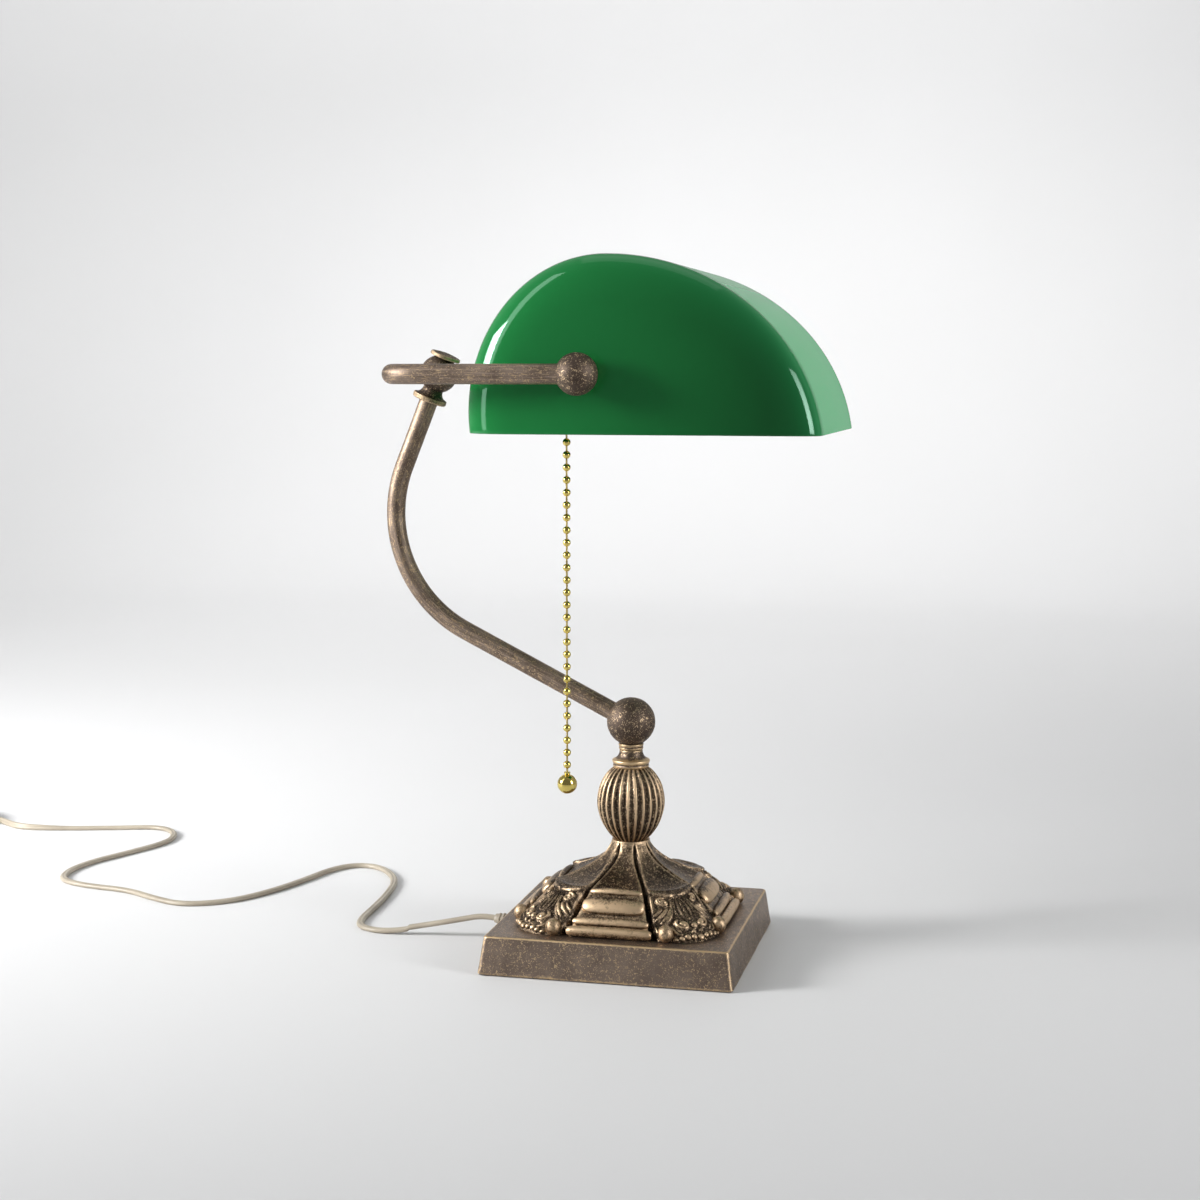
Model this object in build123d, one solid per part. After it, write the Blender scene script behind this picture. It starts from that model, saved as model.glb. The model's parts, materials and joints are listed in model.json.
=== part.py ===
from build123d import *
import os
from math import asin, cos, degrees, radians, sin, tan

os.makedirs("parts", exist_ok=True)

# A desk lamp with a half-barrel glass shade. Millimetres. The origin is the centre of the
# base's underside, +Z is up, +X points from the arm to the shade's open side, which faces
# the reader, and the shade's long axis runs along Y.

# ---- base ----
PLATE_SIDE = 150.0            # at the bottom edge
PLATE_TOP_SIDE = 143.7
PLATE_LIFT = 0.6              # the felt stands this far proud of the casting
PLATE_TOP_Z = 22.7
PLATE_CEILING_Z = 17.7
PLATE_WALL = 4.0
PLATE_CORNER_R, PLATE_EDGE_R, HOLLOW_CORNER_R = 2.5, 1.2, 1.5
FELT_SIDE, FELT_THICK = 140.0, 1.6
COVER_SIDE, COVER_THICK = 140.8, 1.6
COVER_TOP_Z = FELT_THICK + COVER_THICK
WEIGHT_SIDE, WEIGHT_HOLE_R, WEIGHT_SLOT = 108.0, 20.0, 14.0
BOSS_AT, BOSS_R = 62.0, 4.5
SCREW_R, SCREW_HEAD_R, SCREW_HEAD_H, SCREW_TOP_Z = 1.5, 3.0, 1.2, 11.0
EXIT_Z, EXIT_HOLE_R = 11.5, 4.5       # the cord leaves through the wall behind
RELIEF_OUT, RELIEF_IN = 12.0, -10.0   # along the cord, from the wall's outer face
RELIEF_PROFILE = (                    # radius and distance outwards from the wall's face
    (3.6, -10.0),
    (3.6, -6.4),
    (5.4, -6.4),
    (5.4, -4.4),
    (EXIT_HOLE_R, -4.4),
    (EXIT_HOLE_R, 0),
    (6.2, 0),
    (6.2, 1.0),
    (4.4, 2.2),
    (3.3, 12.0),
)

# ---- stem ----
ROD_R, ROD_BORE_R = 5.0, 3.4          # M10 lamp tube
ROD_LOW_Z, ROD_TOP_Z = 11.5, 133.5
NUT_FLATS, NUT_H = 17.0, 4.2
WASHER_R, WASHER_H = 9.0, 1.2
WASHER_LOW_Z = PLATE_CEILING_Z - WASHER_H
FIT = 0.05                            # radial running clearance
GAP = 0.3                             # gap between bodies that only face each other
LEAD_R = 1.8
LEAD_RUN, LEAD_BENDS, LEAD_TOP_Z = 22.0, (10.0, 5.5), 131.0

PEDESTAL_SECTIONS = (                 # height, half width, corner radius
    (22.7, 61.0, 24.0),
    (28.0, 58.5, 22.0),
    (33.0, 53.0, 20.0),
    (39.5, 46.0, 17.0),
    (45.5, 39.5, 15.0),
    (48.2, 35.0, 14.0),
    (52.0, 27.0, 12.5),
    (57.0, 19.3, 10.5),
    (61.5, 14.3, 10.0),
)
NECK_Z, NECK_R = 67.9, 11.3
PEDESTAL_HOLLOW = ((0, PLATE_TOP_Z), (52, PLATE_TOP_Z), (31, 40), (10, 56), (0, 56))
FOOT_R, FOOT_AT = 5.6, (58.0, 31.4)
EGG_LOW_R, EGG_R, EGG_TOP_R = 9.65, 20.3, 10.2
EGG_WAIST_Z, EGG_TOP_Z = 91.2, 112.0
EGG_HOLLOW = ((ROD_R, 72), (12, 80), (16, 91), (12, 103), (ROD_R, 109))
COLLAR_RIM_R, COLLAR_RIM_Z = 11.1, 116.0
COLLAR_LOW_R, COLLAR_WAIST = 10.8, (7.9, 118.2)
COLLAR_TOP_R, COLLAR_TOP_Z = 6.8, 122.4
CUP_R, CUP_LOW_R, CUP_BEVEL, CUP_TOP_Z = 7.5, 6.6, 1.6, 126.4

# ---- arm ----
SWIVEL_Z, SWIVEL_R = 139.3, 14.5
TUBE_R, TUBE_BORE_R = 5.6, 4.2
ARM_RISE = 26.7                       # degrees above the horizontal, towards -X
ARM_LEAN = 22.0                       # degrees off the vertical at the top, towards +X
ARM_BEND_R = 78.5
ARM_START = 7.5                       # the tube starts this far from the ball's centre
CLAMP_X, CLAMP_Z = -118.5, 345.9
CLAMP_R = 11.2
FLANGE_R, FLANGE_LOW, FLANGE_TOP = 10.4, -17.2, -14.2     # along the arm, from the ball's centre
WAIST_CURVE = ((9.0, FLANGE_TOP), (6.4, -12.4), (6.0, -9.2))
NIPPLE_R, NIPPLE_BORE_R = 4.2, 2.8
NIPPLE_LOW, NIPPLE_TOP = -45.0, -8.0
CAP_R, CAP_LOW, CAP_TOP, CAP_DOME = 9.2, 10.1, 12.4, 1.0
STUD_R, STUD_LOW = 3.0, 6.0
CLAMP_FLAT = 9.8
ARM_LEAD_ENDS = (2.0, -7.0)           # along the arm and the clamp axis, from the balls' centres

# ---- yoke ----
ARM_Y = 101.0                         # from the middle plane to each yoke arm
YOKE_BEND_R = 18.0
PIVOT_X, PIVOT_Z = -8.6, 345.9
BALL_R, BALL_FLAT, WIRE_BORE_R = 11.7, 10.3, 4.0
YOKE_TUBE_END = 5.0                   # the tube stops this far from the ball's centre
PIN_END = 5.0                         # and so does the threaded pin of the shade's pivot
NIPPLE_IN_Y, STUD_IN_Y = 76.0, 78.0   # inner ends of the two pins
PIVOT_NUT_FLATS, PIVOT_NUT_H, PIVOT_WASHER_H = 15.0, 4.0, 1.4
YOKE_LEAD_START_Y, YOKE_LEAD_END_Y, YOKE_LEAD_BEND_R = -4.0, -77.0, 4.0

# ---- shade ----
SHADE_HALF_L = 89.0
SHADE_LOW_Z = 312.8
CROWN_X, CROWN_Z = 0.8, 411.6
BACK_A, BACK_B = 78.1, 87.1           # half axes of the ellipse behind the crown
FRONT_A, FRONT_B = 121.7, 112.9       # and of the one in front of it
GLASS, RIM_R = 3.0, 15.0
GROMMET_R = 6.5

# ---- socket, bulb and switch ----
SOCKET_R, SOCKET_WALL, LINER_R = 18.5, 1.0, 16.3
SHELL_MOUTH, SHELL_END = 30.0, 60.0   # distances from the middle plane
SHELL_BEADS, BEAD_W, BEAD_PROUD = (34.0, 55.0), 2.0, 0.7
THREAD_R, THREAD_BORE_R, THREAD_MOUTH, THREAD_END = 14.2, 13.5, 31.0, 56.0
SWITCH_R, SWITCH_END = 14.4, 76.0
SLOT_AT, SLOT_SIZE = -9.0, (26.0, 6.0, 34.0)
CONTACT_R, CONTACT_TIP = 3.0, 54.6
HORN_R, HORN_BORE_R, HORN_TOP_Z = 3.6, 2.7, 337.0
HORN_MOUTH_R, HORN_MOUTH_BORE_R = 4.7, 3.9
LEVER_PIN_Z, LEVER_PIN_R, LEVER_PIN_HALF = 347.0, 1.0, 3.0
LEVER_HALF, LEVER_W, LEVER_TIP = 0.8, 4.4, 1.2
LEVER_EYE_R, LEVER_EYE_HALF = 2.2, 1.6
FORK_SIZE = (5.2, 2.4, 3.0)
STEM_R, STEM_HEAD_R = 0.8, 2.2
BULB_R, BULB_NECK_R, BULB_BASE_R = 27.5, 14.2, 13.1
BULB_WIDEST, BULB_NECK, BULB_TIP = -21.0, 28.0, -49.5     # from the middle plane, outwards
BULB_BASE_END, BULB_TIP_R, BULB_TIP_END, BULB_WALL = 51.0, 5.0, 54.2, 1.0
CHAIN_X, CHAIN_Y = -22.9, -66.0
BEAD_R, BEAD_PITCH, BEADS = 2.25, 7.05, 29
CHAIN_TOP_Z = 322.1                   # centre of the first bead, where the chain swings
LINK_R = 0.55
KNOB_R, KNOB_Z, KNOB_NECK_R, KNOB_NECK = 5.65, 113.6, 1.7, 1.4

# ---- cord ----
CORD_R = 2.4
COIL_AT = (-589.0, 209.0)
COIL_IN_R, COIL_OUT_R, COIL_LOW_Z, COIL_TOP_Z = 22.2, 33.0, 0.6, 10.8
COIL_TURN_R = 30.2
COIL_IN_DEG, COIL_OUT_DEG = 54.0, 135.0
COIL_IN_Z, COIL_OUT_Z = 3.3, 8.0      # heights of the cord's centre where it meets the coil
STUB = 18.5                           # straight ends where the cord leaves the coil
TIE_DEG, TIE_THICK, TIE_W = 235.0, 0.6, 8.0
PLUG_X, PLUG_RELIEF_Y = -637.0, 184.5
PLUG_L, PLUG_W, PLUG_H = 36.0, 35.2, 13.7
PLUG_RELIEF_L, PLUG_RELIEF_PROFILE = 18.0, ((0, 0), (3.1, 0), (4.6, 19.0), (0, 19.0))
PLUG_SHOULDERS = ((5.5, 0), (7.5, 8.0), (17.0, 20.0))     # half width, distance from the relief
PIN_R, PIN_L, PIN_SPACING = 2.0, 19.0, 19.0
BASE_ALIGN = (Align.CENTER, Align.CENTER, Align.MIN)


def rod(radius, low, high):
    """A cylinder about Z between two heights."""
    return Pos(0, 0, low) * Cylinder(radius, high - low, align=BASE_ALIGN)


def ring(outer, inner, low, high):
    """A tube or washer about Z between two heights."""
    return rod(outer, low, high) - rod(inner, low - 1, high + 1)


def turned(*outline):
    """A solid of revolution about Z from its (radius, height) corners."""
    return revolve(Plane.XZ * make_face(Polyline(*outline, close=True)), Axis.Z)


def towards_y(x, z, side):
    """Places a solid built about Z with Z pointing outwards along Y: side is -1 for the
    near end and +1 for the far end, and height is distance from the middle plane."""
    return Pos(x, 0, z) * Rot(90 if side < 0 else -90, 0, 0)


def tube(path, radius):
    """A round bar along a path."""
    return sweep(Plane(origin=path @ 0, z_dir=path % 0) * Circle(radius), path)


def hex_nut(flats, bore, low, high):
    """A hexagonal nut about Z."""
    hexagon = RegularPolygon(flats / 2, 6, major_radius=False)
    return Pos(0, 0, low) * extrude(hexagon, high - low) - rod(bore, low - 1, high + 1)


def square_at(half, z, corner):
    """A square with rounded corners, lying at a height."""
    return Pos(0, 0, z) * RectangleRounded(2 * half, 2 * half, corner)


# ---------------------------------------------------------------- base

wall_slope = (PLATE_SIDE - PLATE_TOP_SIDE) / 2 / (PLATE_TOP_Z - PLATE_LIFT)
exit_x = -(PLATE_SIDE / 2 - wall_slope * (EXIT_Z - PLATE_LIFT))
exit_frame = Plane(origin=(exit_x, 0, EXIT_Z), z_dir=(-1, 0, wall_slope))


def screw_places():
    return [(x, y) for x in (-BOSS_AT, BOSS_AT) for y in (-BOSS_AT, BOSS_AT)]


def base_plate():
    """Cast slab with drafted sides, hollow from below, with four screw bosses."""
    low = square_at(PLATE_SIDE / 2, PLATE_LIFT, PLATE_CORNER_R)
    high = square_at(PLATE_TOP_SIDE / 2, PLATE_TOP_Z, PLATE_CORNER_R)
    slab = loft([low, high], ruled=True)
    slab = fillet(slab.faces().sort_by(Axis.Z)[-1].edges(), PLATE_EDGE_R)
    inner = PLATE_SIDE / 2 - PLATE_WALL
    top_inner = inner - wall_slope * (PLATE_CEILING_Z - PLATE_LIFT)
    mouth = square_at(inner, PLATE_LIFT, HOLLOW_CORNER_R)
    ceiling = square_at(top_inner, PLATE_CEILING_Z, HOLLOW_CORNER_R)
    slab -= loft([mouth, ceiling])
    for x, y in screw_places():
        slab += Pos(x, y, 0) * rod(BOSS_R, COVER_TOP_Z, PLATE_CEILING_Z)
        slab -= Pos(x, y, 0) * rod(SCREW_R, COVER_TOP_Z, SCREW_TOP_Z)
    slab -= rod(ROD_R, PLATE_CEILING_Z - 1, PLATE_TOP_Z + 1)
    return slab - exit_frame * rod(EXIT_HOLE_R, -2 * PLATE_WALL, 2 * PLATE_WALL)


def felt_pad():
    return Box(FELT_SIDE, FELT_SIDE, FELT_THICK, align=BASE_ALIGN)


def cover_screw():
    head = rod(SCREW_HEAD_R, FELT_THICK, FELT_THICK + SCREW_HEAD_H)
    return head + rod(SCREW_R, FELT_THICK, SCREW_TOP_Z)


def bottom_cover():
    """Steel sheet that closes the base, with recesses for the screw heads."""
    sheet = extrude(square_at(COVER_SIDE / 2, FELT_THICK, PLATE_CORNER_R), COVER_THICK)
    for x, y in screw_places():
        sheet -= Pos(x, y, 0) * cover_screw()
    return sheet


def base_weight():
    """Iron ballast block with a slot for the lead and a hole round the stem's nut."""
    height = PLATE_CEILING_Z - COVER_TOP_Z
    block = Pos(0, 0, COVER_TOP_Z) * Box(WEIGHT_SIDE, WEIGHT_SIDE, height, align=BASE_ALIGN)
    block -= rod(WEIGHT_HOLE_R, COVER_TOP_Z - 1, PLATE_CEILING_Z + 1)
    slot = Pos(-WEIGHT_SIDE / 4 - 1, 0, COVER_TOP_Z) * Box(
        WEIGHT_SIDE / 2 + 2, WEIGHT_SLOT, height, align=BASE_ALIGN
    )
    return block - slot


def strain_relief():
    """Rubber bush in the rear wall, tapering along the cord."""
    return exit_frame * turned((0, RELIEF_IN), *RELIEF_PROFILE, (0, RELIEF_OUT))


def base_lead():
    """The cord's run inside the base, up through the stem to the swivel ball."""
    start = (exit_frame * Pos(0, 0, RELIEF_IN)).position
    bend = (exit_frame * Pos(0, 0, RELIEF_IN - LEAD_RUN)).position
    foot = Vector(0, 0, bend.Z)
    top = Vector(0, 0, LEAD_TOP_Z)
    return tube(FilletPolyline(start, bend, foot, top, radius=LEAD_BENDS), LEAD_R)


# ---------------------------------------------------------------- stem


def pedestal():
    """Square foot that sweeps up to a round neck, hollow inside, with eight knobs round it."""
    sections = [square_at(half, z, corner) for z, half, corner in PEDESTAL_SECTIONS]
    sections.append(square_at(NECK_R, NECK_Z, NECK_R - 0.1))
    body = loft(sections, ruled=True)
    foot_z = PLATE_TOP_Z + FOOT_R - 1
    far, near = FOOT_AT
    for sx in (-1, 1):
        for sy in (-1, 1):
            body += Pos(sx * far, sy * near, foot_z) * Sphere(FOOT_R)
            body += Pos(sx * near, sy * far, foot_z) * Sphere(FOOT_R)
    body = split(body, Plane.XY.offset(PLATE_TOP_Z), keep=Keep.TOP)
    return body - turned(*PEDESTAL_HOLLOW) - rod(ROD_R, PLATE_TOP_Z - 1, NECK_Z + 1)


def fluted_egg():
    """Egg-shaped body of the stem, hollow round the rod."""
    side = Spline(
        (EGG_LOW_R, NECK_Z),
        (EGG_R, EGG_WAIST_Z),
        (EGG_TOP_R, EGG_TOP_Z),
        tangents=[(0.75, 0.65), (-0.8, 0.75)],
    )
    outline = [(EGG_TOP_R, EGG_TOP_Z), (ROD_R, EGG_TOP_Z), (ROD_R, NECK_Z), (EGG_LOW_R, NECK_Z)]
    egg = revolve(Plane.XZ * make_face([side, Polyline(*outline)]), Axis.Z)
    return egg - turned(*EGG_HOLLOW)


def neck_collar():
    """Turned collar on the egg: a rim, then a hollow curve up to a thin neck."""
    curve = ThreePointArc(
        (COLLAR_RIM_R, COLLAR_RIM_Z),
        COLLAR_WAIST,
        (COLLAR_TOP_R, COLLAR_TOP_Z),
    )
    outline = [
        (COLLAR_TOP_R, COLLAR_TOP_Z),
        (ROD_R, COLLAR_TOP_Z),
        (ROD_R, EGG_TOP_Z),
        (COLLAR_LOW_R, EGG_TOP_Z),
        (COLLAR_RIM_R, COLLAR_RIM_Z),
    ]
    return revolve(Plane.XZ * make_face([curve, Polyline(*outline)]), Axis.Z)


def swivel_cup():
    """Ring on top of the stem that the swivel ball turns on."""
    return turned(
        (ROD_R, COLLAR_TOP_Z),
        (CUP_LOW_R, COLLAR_TOP_Z),
        (CUP_R, COLLAR_TOP_Z + CUP_BEVEL),
        (CUP_R, CUP_TOP_Z),
        (ROD_R, CUP_TOP_Z),
    )


# ---------------------------------------------------------------- arm

rise = Vector(-cos(radians(ARM_RISE)), 0, sin(radians(ARM_RISE)))
lean = Vector(sin(radians(ARM_LEAN)), 0, cos(radians(ARM_LEAN)))
swivel = Vector(0, 0, SWIVEL_Z)
clamp = Vector(CLAMP_X, 0, CLAMP_Z)
span = clamp - swivel
# Both straight runs meet at the bend's corner: swivel + s * rise = clamp - t * lean.
corner_run = (span.X * lean.Z - span.Z * lean.X) / (rise.X * lean.Z - rise.Z * lean.X)
arm_corner = swivel + rise * corner_run
clamp_frame = Pos(clamp) * Rot(0, ARM_LEAN, 0)


def arm_path(start, end):
    """The arm's centreline from start mm past the swivel ball to end mm along the clamp axis."""
    return FilletPolyline(
        swivel + rise * start, arm_corner, clamp + lean * end, radius=ARM_BEND_R
    )


def arm_tube():
    path = arm_path(ARM_START, FLANGE_LOW)
    bore = arm_path(ARM_START - 1, FLANGE_LOW + 1)
    return tube(path, TUBE_R) - tube(bore, TUBE_BORE_R)


def arm_lead():
    return tube(arm_path(*ARM_LEAD_ENDS), LEAD_R)


def swivel_ball():
    """Ball that turns on the stem's top and carries the arm."""
    ball = Pos(swivel) * Sphere(SWIVEL_R)
    ball = split(ball, Plane.XY.offset(CUP_TOP_Z + GAP), keep=Keep.TOP)
    ball -= rod(ROD_R + FIT, CUP_TOP_Z, SWIVEL_Z - 3)
    ball -= Pos(swivel) * Sphere(ARM_START + GAP)
    arm_axis = Plane(origin=swivel, z_dir=rise)
    return ball - arm_axis * rod(TUBE_R, ARM_START, SWIVEL_R + 2)


def clamp_body():
    """Ball that holds the yoke, with a waisted neck and a flange on the arm's end."""
    thin = WAIST_CURVE[-1]
    neck = revolve(
        Plane.XZ
        * make_face(
            [
                ThreePointArc(*WAIST_CURVE),
                Polyline(thin, (0, thin[1]), (0, FLANGE_TOP), WAIST_CURVE[0]),
            ]
        ),
        Axis.Z,
    )
    body = Sphere(CLAMP_R) + neck + rod(FLANGE_R, FLANGE_LOW, FLANGE_TOP)
    body = split(body, Plane.XY.offset(CLAMP_FLAT), keep=Keep.BOTTOM)
    body -= rod(STUD_R + FIT, 0, CLAMP_R)
    body -= rod(NIPPLE_R, FLANGE_LOW - 1, NIPPLE_TOP)
    body -= rod(NIPPLE_BORE_R, NIPPLE_TOP - 1, 0)
    body -= Rot(90, 0, 0) * rod(TUBE_R + FIT, -CLAMP_R - 1, CLAMP_R + 1)
    return clamp_frame * body


def arm_nipple():
    """Threaded tube that joins the arm to the clamp."""
    return clamp_frame * ring(NIPPLE_R, NIPPLE_BORE_R, NIPPLE_LOW, NIPPLE_TOP)


def lock_screw():
    """Disc-headed screw on top of the clamp."""
    dome = turned(
        (0, CAP_TOP),
        (CAP_R - 0.8, CAP_TOP),
        (CAP_R / 2, CAP_TOP + 0.8 * CAP_DOME),
        (0, CAP_TOP + CAP_DOME),
    )
    disc = fillet(rod(CAP_R, CAP_LOW, CAP_TOP).edges(), 0.5)
    return clamp_frame * (disc + dome + rod(STUD_R, STUD_LOW, CAP_LOW + 1))


# ---------------------------------------------------------------- yoke


def yoke_path(inset):
    """The yoke's U, from near ball to far ball, stopping inset mm short of their centres."""
    return FilletPolyline(
        (PIVOT_X - inset, -ARM_Y, PIVOT_Z),
        (CLAMP_X, -ARM_Y, PIVOT_Z),
        (CLAMP_X, ARM_Y, PIVOT_Z),
        (PIVOT_X - inset, ARM_Y, PIVOT_Z),
        radius=YOKE_BEND_R,
    )


def yoke_tube():
    bar = tube(yoke_path(YOKE_TUBE_END), TUBE_R) - tube(yoke_path(YOKE_TUBE_END - 1), TUBE_BORE_R)
    wire_hole = clamp_frame * rod(NIPPLE_BORE_R, NIPPLE_TOP, 0)
    return bar - wire_hole


def yoke_ball(side, bore):
    """Ball on a yoke arm's end, flat and bored towards the shade."""
    flat = Plane(origin=(0, -side * BALL_FLAT, 0), z_dir=(0, side, 0))
    ball = split(Sphere(BALL_R), flat, keep=Keep.TOP)
    inwards = Rot(90 if side > 0 else -90, 0, 0)
    along_arm = Rot(0, -90, 0)
    ball -= along_arm * rod(TUBE_R, YOKE_TUBE_END, BALL_R + 1)
    ball -= inwards * rod(bore, PIN_END, BALL_R)
    ball -= along_arm * rod(WIRE_BORE_R, -2, YOKE_TUBE_END + 1)
    ball -= inwards * rod(WIRE_BORE_R, -2, PIN_END + 1)
    return Pos(PIVOT_X, side * ARM_Y, PIVOT_Z) * ball


def pivot_piece(solid, side):
    """Places a solid turned about Z, with heights measured from the middle plane outwards."""
    return towards_y(PIVOT_X, PIVOT_Z, side) * solid


OUT_WASHER = (SHADE_HALF_L + GAP, ARM_Y - BALL_FLAT)        # from the glass to the ball's flat
IN_WASHER = (SHADE_HALF_L - GLASS - GAP - PIVOT_WASHER_H, SHADE_HALF_L - GLASS - GAP)
IN_NUT = (IN_WASHER[0] - PIVOT_NUT_H, IN_WASHER[0])
CAP_BACK = IN_NUT[0]                                        # the socket starts here


def near_nipple():
    """Hollow threaded pin: near pivot of the shade and support of the socket."""
    return pivot_piece(ring(ROD_R, ROD_BORE_R, NIPPLE_IN_Y, ARM_Y - PIN_END), -1)


def far_stud():
    """Solid threaded pin: far pivot of the shade."""
    return pivot_piece(rod(ROD_R, STUD_IN_Y, ARM_Y - PIN_END), 1)


def pivot_washers():
    return [
        pivot_piece(ring(WASHER_R, ROD_R, low, high), side)
        for side in (-1, 1)
        for low, high in (OUT_WASHER, IN_WASHER)
    ]


def pivot_nuts():
    return [pivot_piece(hex_nut(PIVOT_NUT_FLATS, ROD_R, *IN_NUT), side) for side in (-1, 1)]


def yoke_lead():
    """Flex from the clamp through the yoke's near arm to the socket."""
    return tube(
        FilletPolyline(
            (CLAMP_X, YOKE_LEAD_START_Y, PIVOT_Z),
            (CLAMP_X, -ARM_Y, PIVOT_Z),
            (PIVOT_X, -ARM_Y, PIVOT_Z),
            (PIVOT_X, YOKE_LEAD_END_Y, PIVOT_Z),
            radius=[YOKE_BEND_R, YOKE_LEAD_BEND_R],
        ),
        LEAD_R,
    )


# ---------------------------------------------------------------- shade


def shade_solid(inset, half_length, edge_r):
    """The shade's outline, inset by the glass thickness for the inner face, as a solid."""
    back_a, back_b = BACK_A - inset, BACK_B - inset
    front_a, front_b = FRONT_A - inset, FRONT_B - inset
    crown = CROWN_Z - inset
    low = SHADE_LOW_Z
    back_centre, front_centre = crown - back_b, crown - front_b
    back_low = degrees(asin((low - back_centre) / back_b))
    front_low = degrees(asin((low - front_centre) / front_b))
    front = EllipticalCenterArc(
        (CROWN_X, front_centre), front_a, front_b, front_low, arc_size=90 - front_low
    )
    back = EllipticalCenterArc((CROWN_X, back_centre), back_a, back_b, 90, arc_size=90 - back_low)
    rim = Line(back @ 1, front @ 0)
    face = Plane.XZ * make_face([front, back, rim])
    solid = extrude(face, half_length, both=True)
    ends = [e for e in solid.edges() if abs(abs(e.center().Y) - half_length) < 0.01]
    ends = [e for e in ends if e.center().Z > low + 1]
    return fillet(ends, edge_r)


def shade_glass():
    """Half-barrel of glass, open below, with a hole in each end for the pivots."""
    outer = shade_solid(0, SHADE_HALF_L, RIM_R)
    inner = shade_solid(GLASS, SHADE_HALF_L - GLASS, RIM_R - GLASS)
    holes = pivot_piece(rod(GROMMET_R, -120, 120), 1)
    return outer - inner - holes


def pivot_grommets():
    return [
        pivot_piece(ring(GROMMET_R, ROD_R + FIT, SHADE_HALF_L - GLASS, SHADE_HALF_L), side)
        for side in (-1, 1)
    ]


# ---------------------------------------------------------------- socket, switch and bulb


def horn_bore(radius):
    """Room for the chain's vertical guide."""
    return Pos(CHAIN_X, CHAIN_Y, 0) * rod(radius, CHAIN_TOP_Z, HORN_TOP_Z)


def socket_cap():
    """Brass cap on the nipple; it holds the switch."""
    wall = SOCKET_WALL
    cup = turned(
        (ROD_R, CAP_BACK),
        (9.0, CAP_BACK),
        (15.0, CAP_BACK - 3),
        (SOCKET_R, CAP_BACK - 8),
        (SOCKET_R, SHELL_END),
        (SOCKET_R - wall, SHELL_END),
        (SOCKET_R - wall, CAP_BACK - 8),
        (14.3, CAP_BACK - 3.6),
        (8.6, CAP_BACK - wall),
        (ROD_R, CAP_BACK - wall),
    )
    return pivot_piece(cup, -1) - horn_bore(HORN_R)


def socket_shell():
    """Brass shell round the lamp holder, with two raised beads."""
    outer = rod(SOCKET_R, SHELL_MOUTH, SHELL_END)
    for height in SHELL_BEADS:
        outer += rod(SOCKET_R + BEAD_PROUD, height, height + BEAD_W)
    return pivot_piece(outer - rod(SOCKET_R - SOCKET_WALL, SHELL_MOUTH - 1, SHELL_END + 1), -1)


def socket_liner():
    return pivot_piece(ring(SOCKET_R - SOCKET_WALL, LINER_R, SHELL_MOUTH + 0.5, THREAD_END), -1)


def screw_shell():
    """Threaded contact that takes the bulb's base."""
    return pivot_piece(ring(THREAD_R, THREAD_BORE_R, THREAD_MOUTH, THREAD_END), -1)


def switch_body():
    """Moulded block with the contacts, slotted for the lever."""
    block = rod(SWITCH_R, THREAD_END, SWITCH_END)
    slot = Pos(PIVOT_X + SLOT_AT, CHAIN_Y, PIVOT_Z) * Box(*SLOT_SIZE)
    return pivot_piece(block, -1) - slot - horn_bore(HORN_R)


def centre_contact():
    """Spring tongue at the bottom of the lamp holder."""
    return pivot_piece(rod(CONTACT_R, CONTACT_TIP, THREAD_END), -1)


def bell_mouth():
    """Flared guide that the chain runs out of."""
    low = CHAIN_TOP_Z + BEAD_R + 0.9
    horn = turned(
        (HORN_BORE_R, HORN_TOP_Z),
        (HORN_R, HORN_TOP_Z),
        (HORN_R, low + 5),
        (HORN_MOUTH_R, low),
        (HORN_MOUTH_BORE_R, low),
        (HORN_BORE_R, low + 4),
    )
    return Pos(CHAIN_X, CHAIN_Y, 0) * horn


def pull_stem():
    """Short rod in the guide, with a head that the lever's fork sits under."""
    foot = CHAIN_TOP_Z + BEAD_R + GAP
    head_z = LEVER_PIN_Z + LEVER_HALF + GAP + STEM_HEAD_R
    head = Pos(0, 0, head_z) * Sphere(STEM_HEAD_R)
    return Pos(CHAIN_X, CHAIN_Y, 0) * (rod(STEM_R, foot, head_z) + head)


def lever_pin():
    pin = rod(LEVER_PIN_R, -LEVER_PIN_HALF, LEVER_PIN_HALF)
    return Pos(PIVOT_X, CHAIN_Y, LEVER_PIN_Z) * Rot(90, 0, 0) * pin


def switch_lever():
    """Lever on the pin; its forked end lies under the stem's head."""
    reach = PIVOT_X - CHAIN_X
    length = reach + LEVER_TIP
    eye = Rot(90, 0, 0) * rod(LEVER_EYE_R, -LEVER_EYE_HALF, LEVER_EYE_HALF)
    arm = Pos(-length / 2, 0, 0) * Box(length, LEVER_W, 2 * LEVER_HALF)
    fork = Pos(-reach, 0, 0) * Box(*FORK_SIZE)
    bore = Rot(90, 0, 0) * rod(LEVER_PIN_R + FIT, -LEVER_PIN_HALF, LEVER_PIN_HALF)
    lever = eye + arm - fork - bore
    return Pos(PIVOT_X, CHAIN_Y, LEVER_PIN_Z) * lever


def bulb_base():
    """Screw base of the bulb."""
    screw = rod(BULB_BASE_R, BULB_NECK, BULB_BASE_END)
    return pivot_piece(screw + rod(BULB_TIP_R, BULB_BASE_END, BULB_TIP_END), -1)


def bulb_glass():
    """Pear-shaped bulb, hollow."""
    def pear(inset):
        neck, low, tip = BULB_NECK_R - inset, BULB_NECK - inset, BULB_TIP + inset
        widest = (BULB_R - inset, BULB_WIDEST)
        side = Spline((neck, low), widest, (0, tip), tangents=[(0.1, -1), (-1, 0)])
        return revolve(
            Plane.XZ * make_face([side, Polyline((0, tip), (0, low), (neck, low))]), Axis.Z
        )
    return pivot_piece(pear(0) - pear(BULB_WALL), -1)


# ---------------------------------------------------------------- chain


def bead_heights():
    return [CHAIN_TOP_Z - i * BEAD_PITCH for i in range(BEADS)]


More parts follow.
